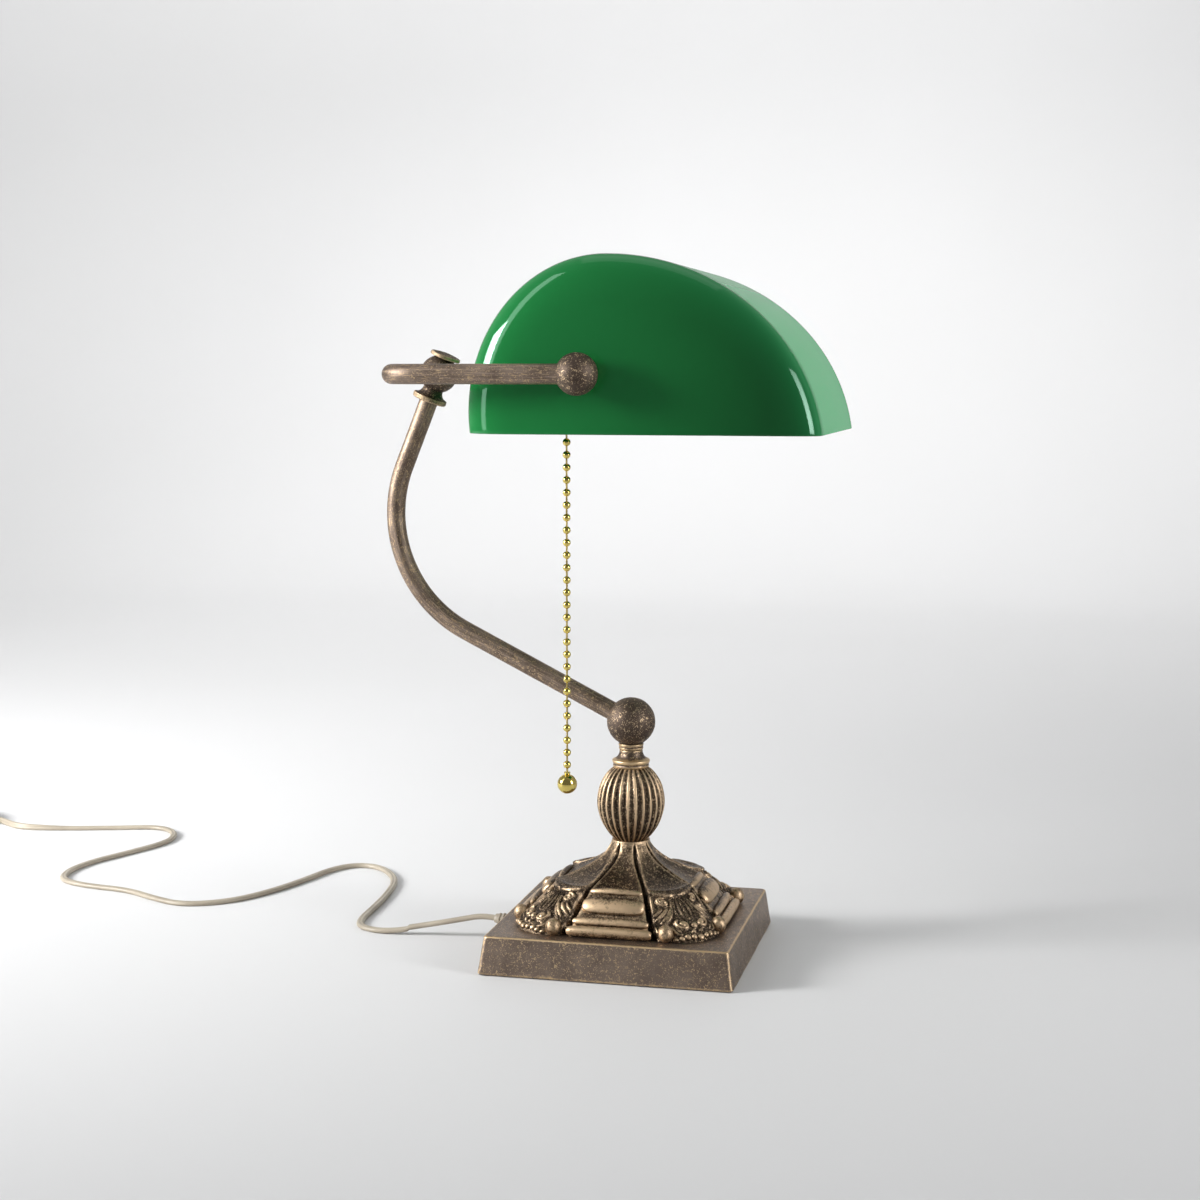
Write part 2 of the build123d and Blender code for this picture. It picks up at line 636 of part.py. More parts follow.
def chain_beads():
    return [Pos(CHAIN_X, CHAIN_Y, z) * Sphere(BEAD_R) for z in bead_heights()]


def pull_knob():
    """Ball on the chain's end, with a short neck."""
    neck = rod(KNOB_NECK_R, KNOB_Z, KNOB_Z + KNOB_R + KNOB_NECK)
    return Pos(CHAIN_X, CHAIN_Y, 0) * (Pos(0, 0, KNOB_Z) * Sphere(KNOB_R) + neck)


def chain_links():
    """Wire links, each from one bead's surface to the next."""
    heights = bead_heights()
    links = []
    for high, low in zip(heights, heights[1:]):
        link = rod(LINK_R, low, high)
        link -= Pos(0, 0, high) * Sphere(BEAD_R)
        link -= Pos(0, 0, low) * Sphere(BEAD_R)
        links.append(Pos(CHAIN_X, CHAIN_Y, 0) * link)
    last = rod(LINK_R, KNOB_Z + KNOB_R + KNOB_NECK, heights[-1])
    last -= Pos(0, 0, heights[-1]) * Sphere(BEAD_R)
    links.append(Pos(CHAIN_X, CHAIN_Y, 0) * last)
    return links


# ---------------------------------------------------------------- cord


def on_coil(angle, radius):
    return Vector(
        COIL_AT[0] + radius * cos(radians(angle)), COIL_AT[1] + radius * sin(radians(angle)), 0
    )


def along_coil(angle):
    """Direction of the cord where it runs round the coil anticlockwise."""
    return Vector(-sin(radians(angle)), cos(radians(angle)), 0)


coil_entry = on_coil(COIL_IN_DEG, COIL_TURN_R) - along_coil(COIL_IN_DEG) * STUB
coil_entry += Vector(0, 0, COIL_IN_Z)
coil_leave = on_coil(COIL_OUT_DEG, COIL_TURN_R) + along_coil(COIL_OUT_DEG) * STUB
coil_leave += Vector(0, 0, COIL_OUT_Z)
relief_tip = (exit_frame * Pos(0, 0, RELIEF_OUT)).position

CORD_ROUTE = [
    relief_tip,
    (exit_frame * Pos(0, 0, RELIEF_OUT + 8)).position,
    (-107, -1.5, 11.4),
    (-122, -3, 8.4),
    (-137, -3, 5.2),
    (-150, -4, 2.9),
    (-163, -4, 2.4),
    (-175, 3, 2.4),
    (-179.5, 19, 2.4),
    (-180.5, 42, 2.4),
    (-183, 78, 2.4),
    (-189, 114, 2.4),
    (-203, 138, 2.4),
    (-217, 150, 2.4),
    (-233, 149, 2.4),
    (-244, 133, 2.4),
    (-250, 106, 2.4),
    (-261, 70, 2.4),
    (-278, 39, 2.4),
    (-305, 24, 2.4),
    (-331, 35, 2.4),
    (-356, 50, 2.4),
    (-389, 54, 2.4),
    (-413, 64, 2.4),
    (-421, 86, 2.4),
    (-418, 115, 2.4),
    (-404, 147, 2.4),
    (-391, 182, 2.4),
    (-395, 205, 2.4),
    (-407, 221, 2.4),
    (-423, 226, 2.4),
    (-441, 220, 2.4),
    (-467, 212, 2.4),
    (-499, 204, 2.4),
    (-522, 201, 2.6),
    coil_entry - along_coil(COIL_IN_DEG) * 20,
    coil_entry,
]
TAIL_ROUTE = [
    coil_leave,
    coil_leave + along_coil(COIL_OUT_DEG) * 10,
    (PLUG_X, 196.5, PLUG_H / 2),
    (PLUG_X, PLUG_RELIEF_Y, PLUG_H / 2),
]


def cord_solid(route):
    """A round cord along a route: each bend takes 0.45 of its shorter run."""
    points = [Vector(*p) if isinstance(p, tuple) else p for p in route]
    runs = [b - a for a, b in zip(points, points[1:])]
    radii = []
    for before, after in zip(runs, runs[1:]):
        turn = radians(before.get_angle(after))
        radii.append(0.45 * min(before.length, after.length) / tan(turn / 2))
    path = FilletPolyline(*points, radius=radii)
    return tube(path, CORD_R)


def coil_ring():
    at = Pos(COIL_AT[0], COIL_AT[1], 0)
    return at * ring(COIL_OUT_R, COIL_IN_R, COIL_LOW_Z, COIL_TOP_Z)


def cord_coil():
    """Outer shape of the wound length, with its two straight ends."""
    solid = coil_ring()
    for angle, z, way in ((COIL_IN_DEG, COIL_IN_Z, -1), (COIL_OUT_DEG, COIL_OUT_Z, 1)):
        start = on_coil(angle, COIL_TURN_R) + Vector(0, 0, z)
        solid += Plane(origin=start, z_dir=along_coil(angle) * way) * rod(CORD_R, 0, STUB)
    return solid


def coil_tie():
    """Strap round the coil's turns."""
    middle = (COIL_IN_R + COIL_OUT_R) / 2
    across = COIL_OUT_R - COIL_IN_R + 2 * TIE_THICK
    block = Box(across, TIE_W, COIL_TOP_Z + TIE_THICK, align=BASE_ALIGN)
    loop = Pos(on_coil(TIE_DEG, middle)) * Rot(0, 0, TIE_DEG) * block
    return loop - coil_ring()


def plug_frame():
    """Local +Z runs from the cord to the pins, local X is across the pins."""
    return Plane(origin=(PLUG_X, PLUG_RELIEF_Y, PLUG_H / 2), x_dir=(1, 0, 0), z_dir=(0, -1, 0))


def plug_body():
    """Flat two-pin plug, moulded onto a tapered relief."""
    right = [(half, PLUG_RELIEF_L + along) for half, along in PLUG_SHOULDERS]
    right.append((PLUG_W / 2, PLUG_RELIEF_L + PLUG_L))
    left = [(-half, along) for half, along in reversed(right)]
    outline = Polyline(*right, *left, close=True)
    body = extrude(Plane.XZ * make_face(outline), PLUG_H / 2, both=True)
    return plug_frame() * (body + turned(*PLUG_RELIEF_PROFILE))


def plug_pins():
    """Two round pins with domed tips."""
    face = PLUG_RELIEF_L + PLUG_L
    dome_at = face + PIN_L - PIN_R
    pin = rod(PIN_R, face, dome_at) + Pos(0, 0, dome_at) * Sphere(PIN_R)
    return [plug_frame() * Pos(x, 0, 0) * pin for x in (-PIN_SPACING / 2, PIN_SPACING / 2)]


# ---------------------------------------------------------------- every piece, by node

PARTS = {
    "base_plate": base_plate(),
    "felt_pad": felt_pad(),
    "bottom_cover": bottom_cover(),
    "cover_screws": [Pos(x, y, 0) * cover_screw() for x, y in screw_places()],
    "base_weight": base_weight(),
    "strain_relief": strain_relief(),
    "base_lead": base_lead(),
    "stem_rod": ring(ROD_R, ROD_BORE_R, ROD_LOW_Z, ROD_TOP_Z),
    "stem_nut": hex_nut(NUT_FLATS, ROD_R, WASHER_LOW_Z - NUT_H, WASHER_LOW_Z),
    "stem_washer": ring(WASHER_R, ROD_R, WASHER_LOW_Z, PLATE_CEILING_Z),
    "pedestal": pedestal(),
    "fluted_egg": fluted_egg(),
    "neck_collar": neck_collar(),
    "swivel_cup": swivel_cup(),
    "swivel_ball": swivel_ball(),
    "arm_tube": arm_tube(),
    "arm_lead": arm_lead(),
    "arm_nipple": arm_nipple(),
    "clamp_body": clamp_body(),
    "lock_screw": lock_screw(),
    "yoke_tube": yoke_tube(),
    "yoke_ball_near": yoke_ball(-1, ROD_R),
    "yoke_ball_far": yoke_ball(1, ROD_R),
    "near_nipple": near_nipple(),
    "far_stud": far_stud(),
    "pivot_washers": pivot_washers(),
    "pivot_nuts": pivot_nuts(),
    "yoke_lead": yoke_lead(),
    "shade_glass": shade_glass(),
    "pivot_grommets": pivot_grommets(),
    "socket_cap": socket_cap(),
    "socket_shell": socket_shell(),
    "socket_liner": socket_liner(),
    "screw_shell": screw_shell(),
    "switch_body": switch_body(),
    "centre_contact": centre_contact(),
    "bell_mouth": bell_mouth(),
    "lever_pin": lever_pin(),
    "switch_lever": switch_lever(),
    "pull_stem": pull_stem(),
    "bulb_base": bulb_base(),
    "bulb_glass": bulb_glass(),
    "chain_beads": chain_beads(),
    "chain_links": chain_links(),
    "pull_knob": pull_knob(),
    "power_cord": cord_solid(CORD_ROUTE),
    "cord_coil": cord_coil(),
    "coil_tie": coil_tie(),
    "plug_tail": cord_solid(TAIL_ROUTE),
    "plug_body": plug_body(),
    "plug_pins": plug_pins(),
}

for node, shape in PARTS.items():
    solids = shape if isinstance(shape, list) else [shape]
    export_step(Compound(children=[s for item in solids for s in item.solids()]),
                f"parts/{node}.step")
print(len(PARTS), "nodes")
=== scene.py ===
import json
from math import asin, copysign, cos, degrees, exp, hypot, pi, radians, sin, sqrt, tan

import bmesh
import bpy
from mathutils import Matrix, Vector, noise
import numpy as np


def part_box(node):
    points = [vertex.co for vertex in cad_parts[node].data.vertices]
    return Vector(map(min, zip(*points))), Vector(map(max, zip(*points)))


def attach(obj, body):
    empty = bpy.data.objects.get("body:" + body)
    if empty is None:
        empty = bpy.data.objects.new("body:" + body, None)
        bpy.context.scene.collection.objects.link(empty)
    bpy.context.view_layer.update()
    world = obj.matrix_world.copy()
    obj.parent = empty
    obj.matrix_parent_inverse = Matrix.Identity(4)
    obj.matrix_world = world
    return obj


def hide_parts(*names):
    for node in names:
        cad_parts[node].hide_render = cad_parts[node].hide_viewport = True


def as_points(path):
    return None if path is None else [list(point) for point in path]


# Looks of a desk lamp with a half-barrel glass shade. Lengths are millimetres and become metres
# in make(). +Z is up, +X points from the arm to the shade's open side and Y is the shade's
# long axis.

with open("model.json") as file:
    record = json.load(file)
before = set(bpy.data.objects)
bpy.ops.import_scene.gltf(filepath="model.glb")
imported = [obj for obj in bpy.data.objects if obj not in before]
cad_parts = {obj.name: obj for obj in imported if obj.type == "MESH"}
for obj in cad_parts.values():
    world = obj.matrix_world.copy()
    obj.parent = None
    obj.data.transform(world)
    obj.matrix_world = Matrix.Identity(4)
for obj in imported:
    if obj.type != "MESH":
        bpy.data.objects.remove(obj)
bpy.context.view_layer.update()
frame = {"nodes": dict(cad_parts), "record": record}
MM = 0.001


# ---------------- camera


def put_in_scene(name, data, location, rotation):
    obj = bpy.data.objects.new(name, data)
    obj.location, obj.rotation_euler = location, rotation
    bpy.context.scene.collection.objects.link(obj)
    return obj


def make_camera():
    data = bpy.data.cameras.new("camera")
    data.lens, data.sensor_width = 59.5, 36.0
    data.clip_start, data.clip_end = 0.01, 20.0
    bpy.context.scene.camera = put_in_scene("camera", data, (0.2492, -1.1450, 0.3459),
                                            (radians(90 - 6.5), 0, radians(13.19)))


make_camera()


# ---------------- mesh helpers


def make(name, verts, faces, material, body=None, slot=None, replaces=(), sharp=38, worn=None,
         uvs=None):
    """A smooth-shaded object from points in millimetres, riding on a body."""
    mesh = bpy.data.meshes.new(name)
    mesh.from_pydata([Vector(v) * MM for v in verts], [], faces)
    mesh.polygons.foreach_set("use_smooth", [True] * len(mesh.polygons))
    mesh.validate()
    mesh.set_sharp_from_angle(angle=radians(sharp))
    if worn is not None:
        mesh.attributes.new("worn", "FLOAT", "POINT").data.foreach_set("value", worn)
    if uvs is not None:
        layer = mesh.uv_layers.new(name="along")
        layer.data.foreach_set("uv", [c for face in uvs for uv in face for c in uv])
    mesh.materials.append(material)
    obj = bpy.data.objects.new(name, mesh)
    bpy.context.scene.collection.objects.link(obj)
    if body:
        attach(obj, body)
    if replaces:
        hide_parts(*replaces)
    return obj


class Shape:
    """Vertices and faces gathered from several surfaces, with a wear value at each vertex."""

    def __init__(self):
        self.verts, self.faces, self.worn = [], [], []

    def skin(self, rings, closed=True, worn=None, low_cap=False, high_cap=False):
        """A surface through rings of points; worn has a value, or a list of values, for each ring."""
        start, count = len(self.verts), len(rings[0])
        for points, wear in zip(rings, worn or [0.0] * len(rings)):
            self.verts += points
            self.worn += wear if isinstance(wear, list) else [wear] * count
        top = start + (len(rings) - 1) * count
        for a in range(start, top, count):
            b = a + count
            for j in range(count if closed else count - 1):
                k = (j + 1) % count
                self.faces.append((a + j, a + k, b + k, b + j))
        if low_cap:
            self.cap(start, count, True)
        if high_cap:
            self.cap(top, count, False)
        return self

    def cap(self, first, count, flip):
        """A fan that closes a ring."""
        hub = len(self.verts)
        self.verts.append(sum((Vector(v) for v in self.verts[first:first + count]), Vector()) / count)
        self.worn.append(0.0)
        for j in range(count):
            edge = (first + j, first + (j + 1) % count)
            self.faces.append((*(reversed(edge) if flip else edge), hub))

    def turned(self, outline, place=Matrix(), segments=64):
        """A surface of revolution about the placed Z from (radius, height[, wear]) corners."""
        rings = []
        for radius, height, *_ in outline:
            radius = max(radius, 0.01)
            rings.append([place @ Vector((radius * cos(t), radius * sin(t), height))
                          for t in around(segments)])
        return self.skin(rings, worn=[float(sum(corner[2:])) for corner in outline])

    def ball(self, centre, size, wear=0.6, turn=Matrix(), segments=16):
        """An ellipsoid with half axes size."""
        rings = []
        steps = segments // 2
        for i in range(steps + 1):
            up = pi * i / steps - pi / 2
            rings.append([
                Vector(centre) + turn @ Vector((size[0] * cos(up) * cos(t), size[1] * cos(up) * sin(t),
                                                size[2] * sin(up)))
                for t in around(segments)
            ])
        return self.skin(rings, worn=[wear] * len(rings))

    def make(self, name, material, body, slot=None, *nodes, **words):
        """An object of the gathered surfaces, which stands for CAD nodes."""
        return make(name, self.verts, self.faces, material, body, slot, nodes, worn=self.worn, **words)


def around(count):
    """Evenly spaced angles of a full turn."""
    return [2 * pi * j / count for j in range(count)]


def signed_power(value, power):
    return copysign(abs(value) ** power, value)


def sphere(radius, first, last, steps, centre=0.0):
    """Outline of a ball between two latitudes in degrees, with its centre at a height."""
    turns = [radians(first + (last - first) * i / steps) for i in range(steps + 1)]
    return [(radius * cos(t), centre + radius * sin(t)) for t in turns]


def smooth_step(low, high, x):
    t = min(1.0, max(0.0, (x - low) / (high - low)))
    return t * t * (3 - 2 * t)


def between(a, b, c, d, t):
    """Point at t between b and c on the smooth curve through four points."""
    return tuple(0.5 * (2 * q + (r - p) * t + (2 * p - 5 * q + 4 * r - s) * t * t
                        + (3 * q - p - 3 * r + s) * t ** 3) for p, q, r, s in zip(a, b, c, d))


def rounded(outline, steps=5):
    """A smooth curve through corners with any number of coordinates."""
    points = [outline[0]] + list(outline) + [outline[-1]]
    made = [between(*four, i / steps) for four in zip(points, points[1:], points[2:], points[3:])
            for i in range(steps)]
    made.append(outline[-1])
    return made


def frames_along(points):
    """(point, side, up) along a path; side and up turn as little as they can."""
    made = []
    up = Vector((0, 1, 0)) if abs((points[1] - points[0]).normalized().z) > 0.9 else Vector((0, 0, 1))
    for before, point, after in zip([points[0]] + points, points, points[1:] + [points[-1]]):
        tangent = (after - before).normalized()
        side = tangent.cross(up).normalized()
        up = side.cross(tangent).normalized()
        made.append((point, side, up))
    return made


def bar(name, points, radius, material, body, segments=48, **words):
    """A round bar along points, with UV v in millimetres along it for the lengthwise grain."""
    shape = Shape().skin([[point + (side * cos(t) + up * sin(t)) * radius for t in around(segments)]
                          for point, side, up in frames_along(points)])
    lengths = [0.0]
    for a, b in zip(points, points[1:]):
        lengths.append(lengths[-1] + (b - a).length)
    uvs = [[(j / segments, a), ((j + 1) / segments, a), ((j + 1) / segments, b), (j / segments, b)]
           for a, b in zip(lengths, lengths[1:]) for j in range(segments)]
    return make(name, shape.verts, shape.faces, material, body, uvs=uvs, **words)


def straight(a, b, step=4.0):
    count = max(2, int((b - a).length / step))
    return [a.lerp(b, i / count) for i in range(count)]


def bent_path(corners, radii, step=3.0):
    """Points along straight runs joined by arcs, one radius for each inner corner."""
    points = []
    start = corners[0]
    for before, corner, after, radius in zip(corners, corners[1:], corners[2:], radii):
        a = (before - corner).normalized()
        b = (after - corner).normalized()
        half = a.angle(b) / 2
        reach = radius / tan(half)
        first, last = corner + a * reach, corner + b * reach
        centre = corner + (a + b).normalized() * (radius / sin(half))
        points += straight(start, first)
        normal = (first - centre).cross(last - centre).normalized()
        sweep = (first - centre).angle(last - centre)
        count = max(6, int(sweep * radius / step))
        for i in range(count):
            points.append(centre + Matrix.Rotation(sweep * i / count, 3, normal) @ (first - centre))
        start = last
    return points + straight(start, corners[-1]) + [corners[-1]]


# ---------------- materials


class Nodes:
    """Short names for building a node material."""

    def __init__(self, name):
        self.material = bpy.data.materials.new(name)
        self.material.use_nodes = True
        self.tree = self.material.node_tree
        self.shader = self.tree.nodes["Principled BSDF"]

    def add(self, kind, inputs=None, **settings):
        node = self.tree.nodes.new("ShaderNode" + kind)
        for key, value in settings.items():
            setattr(node, key, value)
        for key, value in (inputs or {}).items():
            self.put(node.inputs[key], value)
        return node

    def put(self, socket, value):
        if isinstance(value, bpy.types.NodeSocket):
            self.tree.links.new(value, socket)
        else:
            socket.default_value = value

    def set(self, **inputs):
        for key, value in inputs.items():
            self.put(self.shader.inputs[key.replace("_", " ")], value)

    def place(self, scale=(1, 1, 1)):
        """The piece's own coordinates, stretched by scale."""
        coordinates = self.add("TexCoord").outputs["Object"]
        return self.add("Mapping", {"Vector": coordinates, "Scale": scale}).outputs[0]

    def along(self, scale):
        """A bar's (turn, length) coordinates, stretched by scale."""
        coordinates = self.add("UVMap", uv_map="along").outputs[0]
        return self.add("Mapping", {"Vector": coordinates, "Scale": scale}).outputs[0]

    def noise(self, vector, scale, detail=4.0, roughness=0.55, distortion=0.0):
        return self.add("TexNoise", {
            "Vector": vector, "Scale": scale, "Detail": detail, "Roughness": roughness,
            "Distortion": distortion,
        }).outputs[0]

    def range(self, value, low, high, to_low=0.0, to_high=1.0):
        return self.add("MapRange", {
            "Value": value, "From Min": low, "From Max": high, "To Min": to_low, "To Max": to_high,
        }).outputs[0]

    def maths(self, operation, a, b=0.0):
        return self.add("Math", {0: a, 1: b}, operation=operation).outputs[0]

    def mix(self, factor, a, b):
        node = self.add("Mix", data_type="RGBA")
        for key, value in ((0, factor), (6, a), (7, b)):
            self.put(node.inputs[key], (*value, 1.0) if isinstance(value, tuple) else value)
        return node.outputs[2]

    def over(self, base, colour, value, low, high, most=1.0):
        """A colour laid over a base by as much as a value is on its way from low to high."""
        return self.mix(self.range(value, low, high, 0.0, most), base, colour)

    def bump(self, height, distance):
        node = self.add("Bump", {"Height": height, "Distance": distance, "Strength": 1.0})
        self.put(self.shader.inputs["Normal"], node.outputs[0])


def scaled(colour, by):
    return tuple(c * by for c in colour)


def bronze(name, dark, mid, streaks=False, gold=(0.60, 0.44, 0.26), fleck=0.63,
           gloss=(0.36, 0.58)):
    """Antique bronze: dark in hollows, worn to gold on edges, with fine gold flecks."""
    n = Nodes(name)
    place = n.place()
    clouds = n.noise(place, 55.0, 3.0)
    fine = n.noise(place, 900.0, 3.0, 0.6)
    base = n.over(dark, mid, clouds, 0.38, 0.66)
    if streaks:
        grain = n.noise(n.along((34.0, 0.035, 1.0)), 1.0, 6.0, 0.7)
        base = n.over(base, scaled(mid, 2.3), grain, 0.52, 0.72, 0.75)
        base = n.over(base, scaled(dark, 0.4), grain, 0.46, 0.28, 0.8)
        scratch = n.noise(n.along((60.0, 0.16, 1.0)), 1.0, 3.0, 0.6)
        base = n.over(base, gold, scratch, 0.59, 0.65, 0.85)
        rough = n.range(grain, 0.25, 0.8, 0.42, 0.66)
        n.bump(n.maths("ADD", grain, n.maths("MULTIPLY", fine, 0.4)), 0.00007)
    else:
        rough = n.range(fine, 0.3, 0.7, *gloss)
        n.bump(n.maths("ADD", fine, n.maths("MULTIPLY", clouds, 0.6)), 0.00013)
    spots = n.noise(place, 760.0, 2.0, 0.6, 1.5)
    base = n.over(base, gold, spots, fleck, fleck + 0.035, 0.85)
    worn = n.add("Attribute", attribute_name="worn").outputs["Fac"]
    patches = n.maths("ADD", n.maths("MULTIPLY", fine, 1.2), n.noise(place, 230.0, 3.0, 0.7))
    ragged = n.maths("ADD", worn, n.maths("MULTIPLY", n.maths("SUBTRACT", patches, 1.1), 0.9))
    base = n.over(base, scaled(dark, 0.45), ragged, -0.1, -0.9, 0.75)
    base = n.over(base, gold, ragged, 0.25, 0.75)
    n.set(Base_Color=base, Roughness=rough, Metallic=1.0)
    return n.material


def brass(name, colour=(0.78, 0.62, 0.18), roughness=0.12):
    """Polished brass with faint smears and hairlines."""
    n = Nodes(name)
    place = n.place()
    smear = n.noise(place, 90.0, 4.0)
    hair = n.noise(n.place((1, 1, 0.04)), 2400.0, 3.0)
    n.set(Base_Color=n.over(scaled(colour, 0.82), colour, smear, 0.35, 0.7),
          Roughness=n.range(smear, 0.3, 0.75, roughness * 0.7, roughness * 1.9), Metallic=1.0)
    n.bump(hair, 0.000015)
    return n.material


def steel(name):
    """Machined steel: faint turning marks and stains."""
    n = Nodes(name)
    smear = n.noise(n.place(), 70.0, 5.0)
    marks = n.noise(n.place((1, 1, 12)), 500.0, 3.0)
    n.set(Base_Color=n.over((0.375, 0.375, 0.3675), (0.50, 0.50, 0.49), smear, 0.4, 0.7),
          Roughness=n.range(marks, 0.3, 0.7, 0.256, 0.448), Metallic=1.0)
    n.bump(marks, 0.00002)
    return n.material


def mottled(name, low, high, clouds, fine, rough, bump, **more):
    """A finish with soft clouds from a low to a high colour and a fine grain in its gloss."""
    n = Nodes(name)
    cloud = n.noise(n.place(), *clouds)
    grain = n.noise(n.place(), *fine)
    n.set(Base_Color=n.over(low, high, cloud, 0.35, 0.65),
          Roughness=n.range(grain, 0.3, 0.7, *rough), **more)
    n.bump(grain, bump)
    return n.material


def moulded(name, colour, roughness, coat=0.0):
    """Moulded plastic or rubber with a fine sparked texture."""
    return mottled(name, scaled(colour, 0.86), colour, (40.0, 4.0), (1500.0, 2.0),
                   (roughness * 0.85, roughness * 1.15), 0.00003, Coat_Weight=coat)


def cast_iron(name):
    n = Nodes(name)
    grain = n.noise(n.place(), 350.0, 6.0, 0.7)
    n.set(Base_Color=n.mix(grain, (0.03, 0.03, 0.032), (0.12, 0.11, 0.105)), Roughness=0.75,
          Metallic=0.6)
    n.bump(grain, 0.0006)
    return n.material


def felt(name):
    """Dark green felt: tangled fibres and a soft sheen."""
    n = Nodes(name)
    fibres = n.noise(n.place(), 1400.0, 6.0, 0.8, 2.0)
    clouds = n.noise(n.place(), 60.0, 3.0)
    colour = n.mix(fibres, (0.010, 0.030, 0.018), (0.035, 0.085, 0.050))
    n.set(Base_Color=n.over(colour, (0.02, 0.05, 0.03), clouds, 0.3, 0.7, 0.35), Roughness=0.95,
          Sheen_Weight=0.5)
    n.bump(fibres, 0.0005)
    return n.material


def green_glass(name):
    """Deep green glass with a clear gloss, slightly see-through, with faint streaks; painted shade
    darkens it towards +X and painted light brightens the barrel's front.
    """
    n = Nodes(name)
    streak = n.noise(n.place((1, 0.3, 1)), 9.0, 3.0, 0.5, 0.6)
    fine = n.noise(n.place(), 160.0, 2.0)
    split = n.add("SeparateXYZ", {0: n.add("TexCoord").outputs["Object"]}).outputs
    # Painted shade: the green darkens from left to right, as if lit from the left.
    painted_shade_rightwards = n.range(n.maths("ADD", split[0], n.maths("MULTIPLY", streak, 0.03)), -0.05, 0.11)
    colour = n.mix(painted_shade_rightwards, (0.014, 0.215, 0.048), (0.004, 0.062, 0.013))
    barrel = n.range(n.maths("ABSOLUTE", split[1]), 0.089, 0.064)
    # Painted light: the barrel turns a lighter green towards its front, as if lit on that side.
    side = n.maths("MULTIPLY", barrel, n.range(split[0], 0.0, 0.09, 0.35, 1.0))
    colour = n.mix(side, colour, (0.030, 0.36, 0.115))
    n.set(Base_Color=colour, Roughness=n.range(fine, 0.3, 0.7, 0.05, 0.10), IOR=1.45,
          Specular_IOR_Level=n.range(barrel, 0.0, 0.6, 0.6, 0.0), Specular_Tint=(0.45, 1.0, 0.72, 1.0),
          Transmission_Weight=0.10, Coat_Roughness=0.03, Coat_IOR=1.6,
          Coat_Weight=n.range(barrel, 0.0, 1.0, 0.16, 0.30))
    n.bump(n.noise(n.place(), 26.0, 2.0), 0.0002)
    return n.material


def bulb_finish(name):
    """Frosted bulb glass."""
    n = Nodes(name)
    clouds = n.noise(n.place(), 60.0, 3.0)
    n.set(Base_Color=n.mix(clouds, (0.86, 0.85, 0.81), (0.93, 0.92, 0.88)),
          Roughness=n.range(clouds, 0.3, 0.7, 0.3, 0.45), Transmission_Weight=0.35)
    n.bump(n.noise(n.place(), 900.0, 2.0), 0.00002)
    return n.material


def floor_finish(name):
    n = Nodes(name)
    clouds = n.noise(n.place(), 1.5, 2.0)
    n.set(Base_Color=n.mix(clouds, (0.66, 0.66, 0.66), (0.70, 0.70, 0.705)), Roughness=0.6,
          Specular_IOR_Level=0.2)
    n.bump(n.noise(n.place(), 300.0, 2.0), 0.00002)
    return n.material


CAST = bronze("cast_bronze", (0.050, 0.036, 0.026), (0.130, 0.095, 0.066), fleck=0.58,
              gold=(0.62, 0.455, 0.29))
PLATE = bronze("plate_bronze", (0.170, 0.129, 0.104), (0.250, 0.193, 0.154), fleck=0.595)
TUBE = bronze("tube_bronze", (0.160, 0.120, 0.095), (0.265, 0.205, 0.163), streaks=True, fleck=0.60)
BALL = bronze("ball_bronze", (0.088, 0.065, 0.052), (0.155, 0.118, 0.093), fleck=0.595,
              gold=(0.66, 0.50, 0.32), gloss=(0.50, 0.72))
TURNED = bronze("turned_bronze", (0.100, 0.074, 0.058), (0.185, 0.140, 0.108), fleck=0.61)
BRASS = brass("polished_brass")
LINK = brass("link_wire", (0.52, 0.40, 0.14), 0.25)
STEEL = steel("machined_steel")
IRON = cast_iron("ballast_iron")
FELT = felt("base_felt")
GLASS = green_glass("shade_glass_green")
BULB = bulb_finish("bulb_frosted")
RUBBER = moulded("black_rubber", (0.022, 0.020, 0.018), 0.6)
FLEX = mottled("taupe_flex", (0.30, 0.26, 0.20), (0.40, 0.35, 0.275), (30.0, 4.0), (900.0, 3.0),
               (0.34, 0.52), 0.00003, Specular_IOR_Level=0.45)
PLASTIC = moulded("taupe_plastic", (0.38, 0.33, 0.26), 0.42, 0.1)
PHENOLIC = moulded("black_phenolic", (0.020, 0.014, 0.011), 0.3, 0.3)

SLOT_FINISH = {
    "bronze": BALL, "brass": BRASS, "steel": STEEL, "iron": IRON, "felt": FELT,
    "green_glass": GLASS, "bulb_glass": BULB, "rubber": RUBBER, "flex": FLEX,
    "plug_plastic": PLASTIC, "phenolic": PHENOLIC,
}


def finish_cad_nodes():
    """Every CAD node gets the finish of its material slot."""
    for part in frame["record"]["subparts"]:
        materials = frame["nodes"][part["node"]].data.materials
        materials.clear()
        materials.append(SLOT_FINISH[part["material_slot"]])


finish_cad_nodes()


# ---------------- cord

FLEX_W, FLEX_H = 4.8, 3.0
COIL_AT = (-589.0, 209.0)
COIL_OUTER, COIL_INNER = 31.2, 23.9      # centre radii of the outermost and innermost turns
COIL_LOW_Z, COIL_HIGH_Z = 2.5, 7.4       # heights of the two layers
COIL_IN_DEG, COIL_OUT_DEG = 54.0, 135.0
STUB = 18.5
PLUG_X, PLUG_Z = -637.0, 6.85
EXIT = Vector((-85.284, 0, 13.222))
TURN_IN = (110, 45)                      # the flex turns on edge between these distances from
TURN_OUT = (52, 36)                      # the coil's centre: on its way in, and in the plug's tail
TAIL_X, TAIL_FLAT_X, TAIL_CLEAR = -605, -630, 33

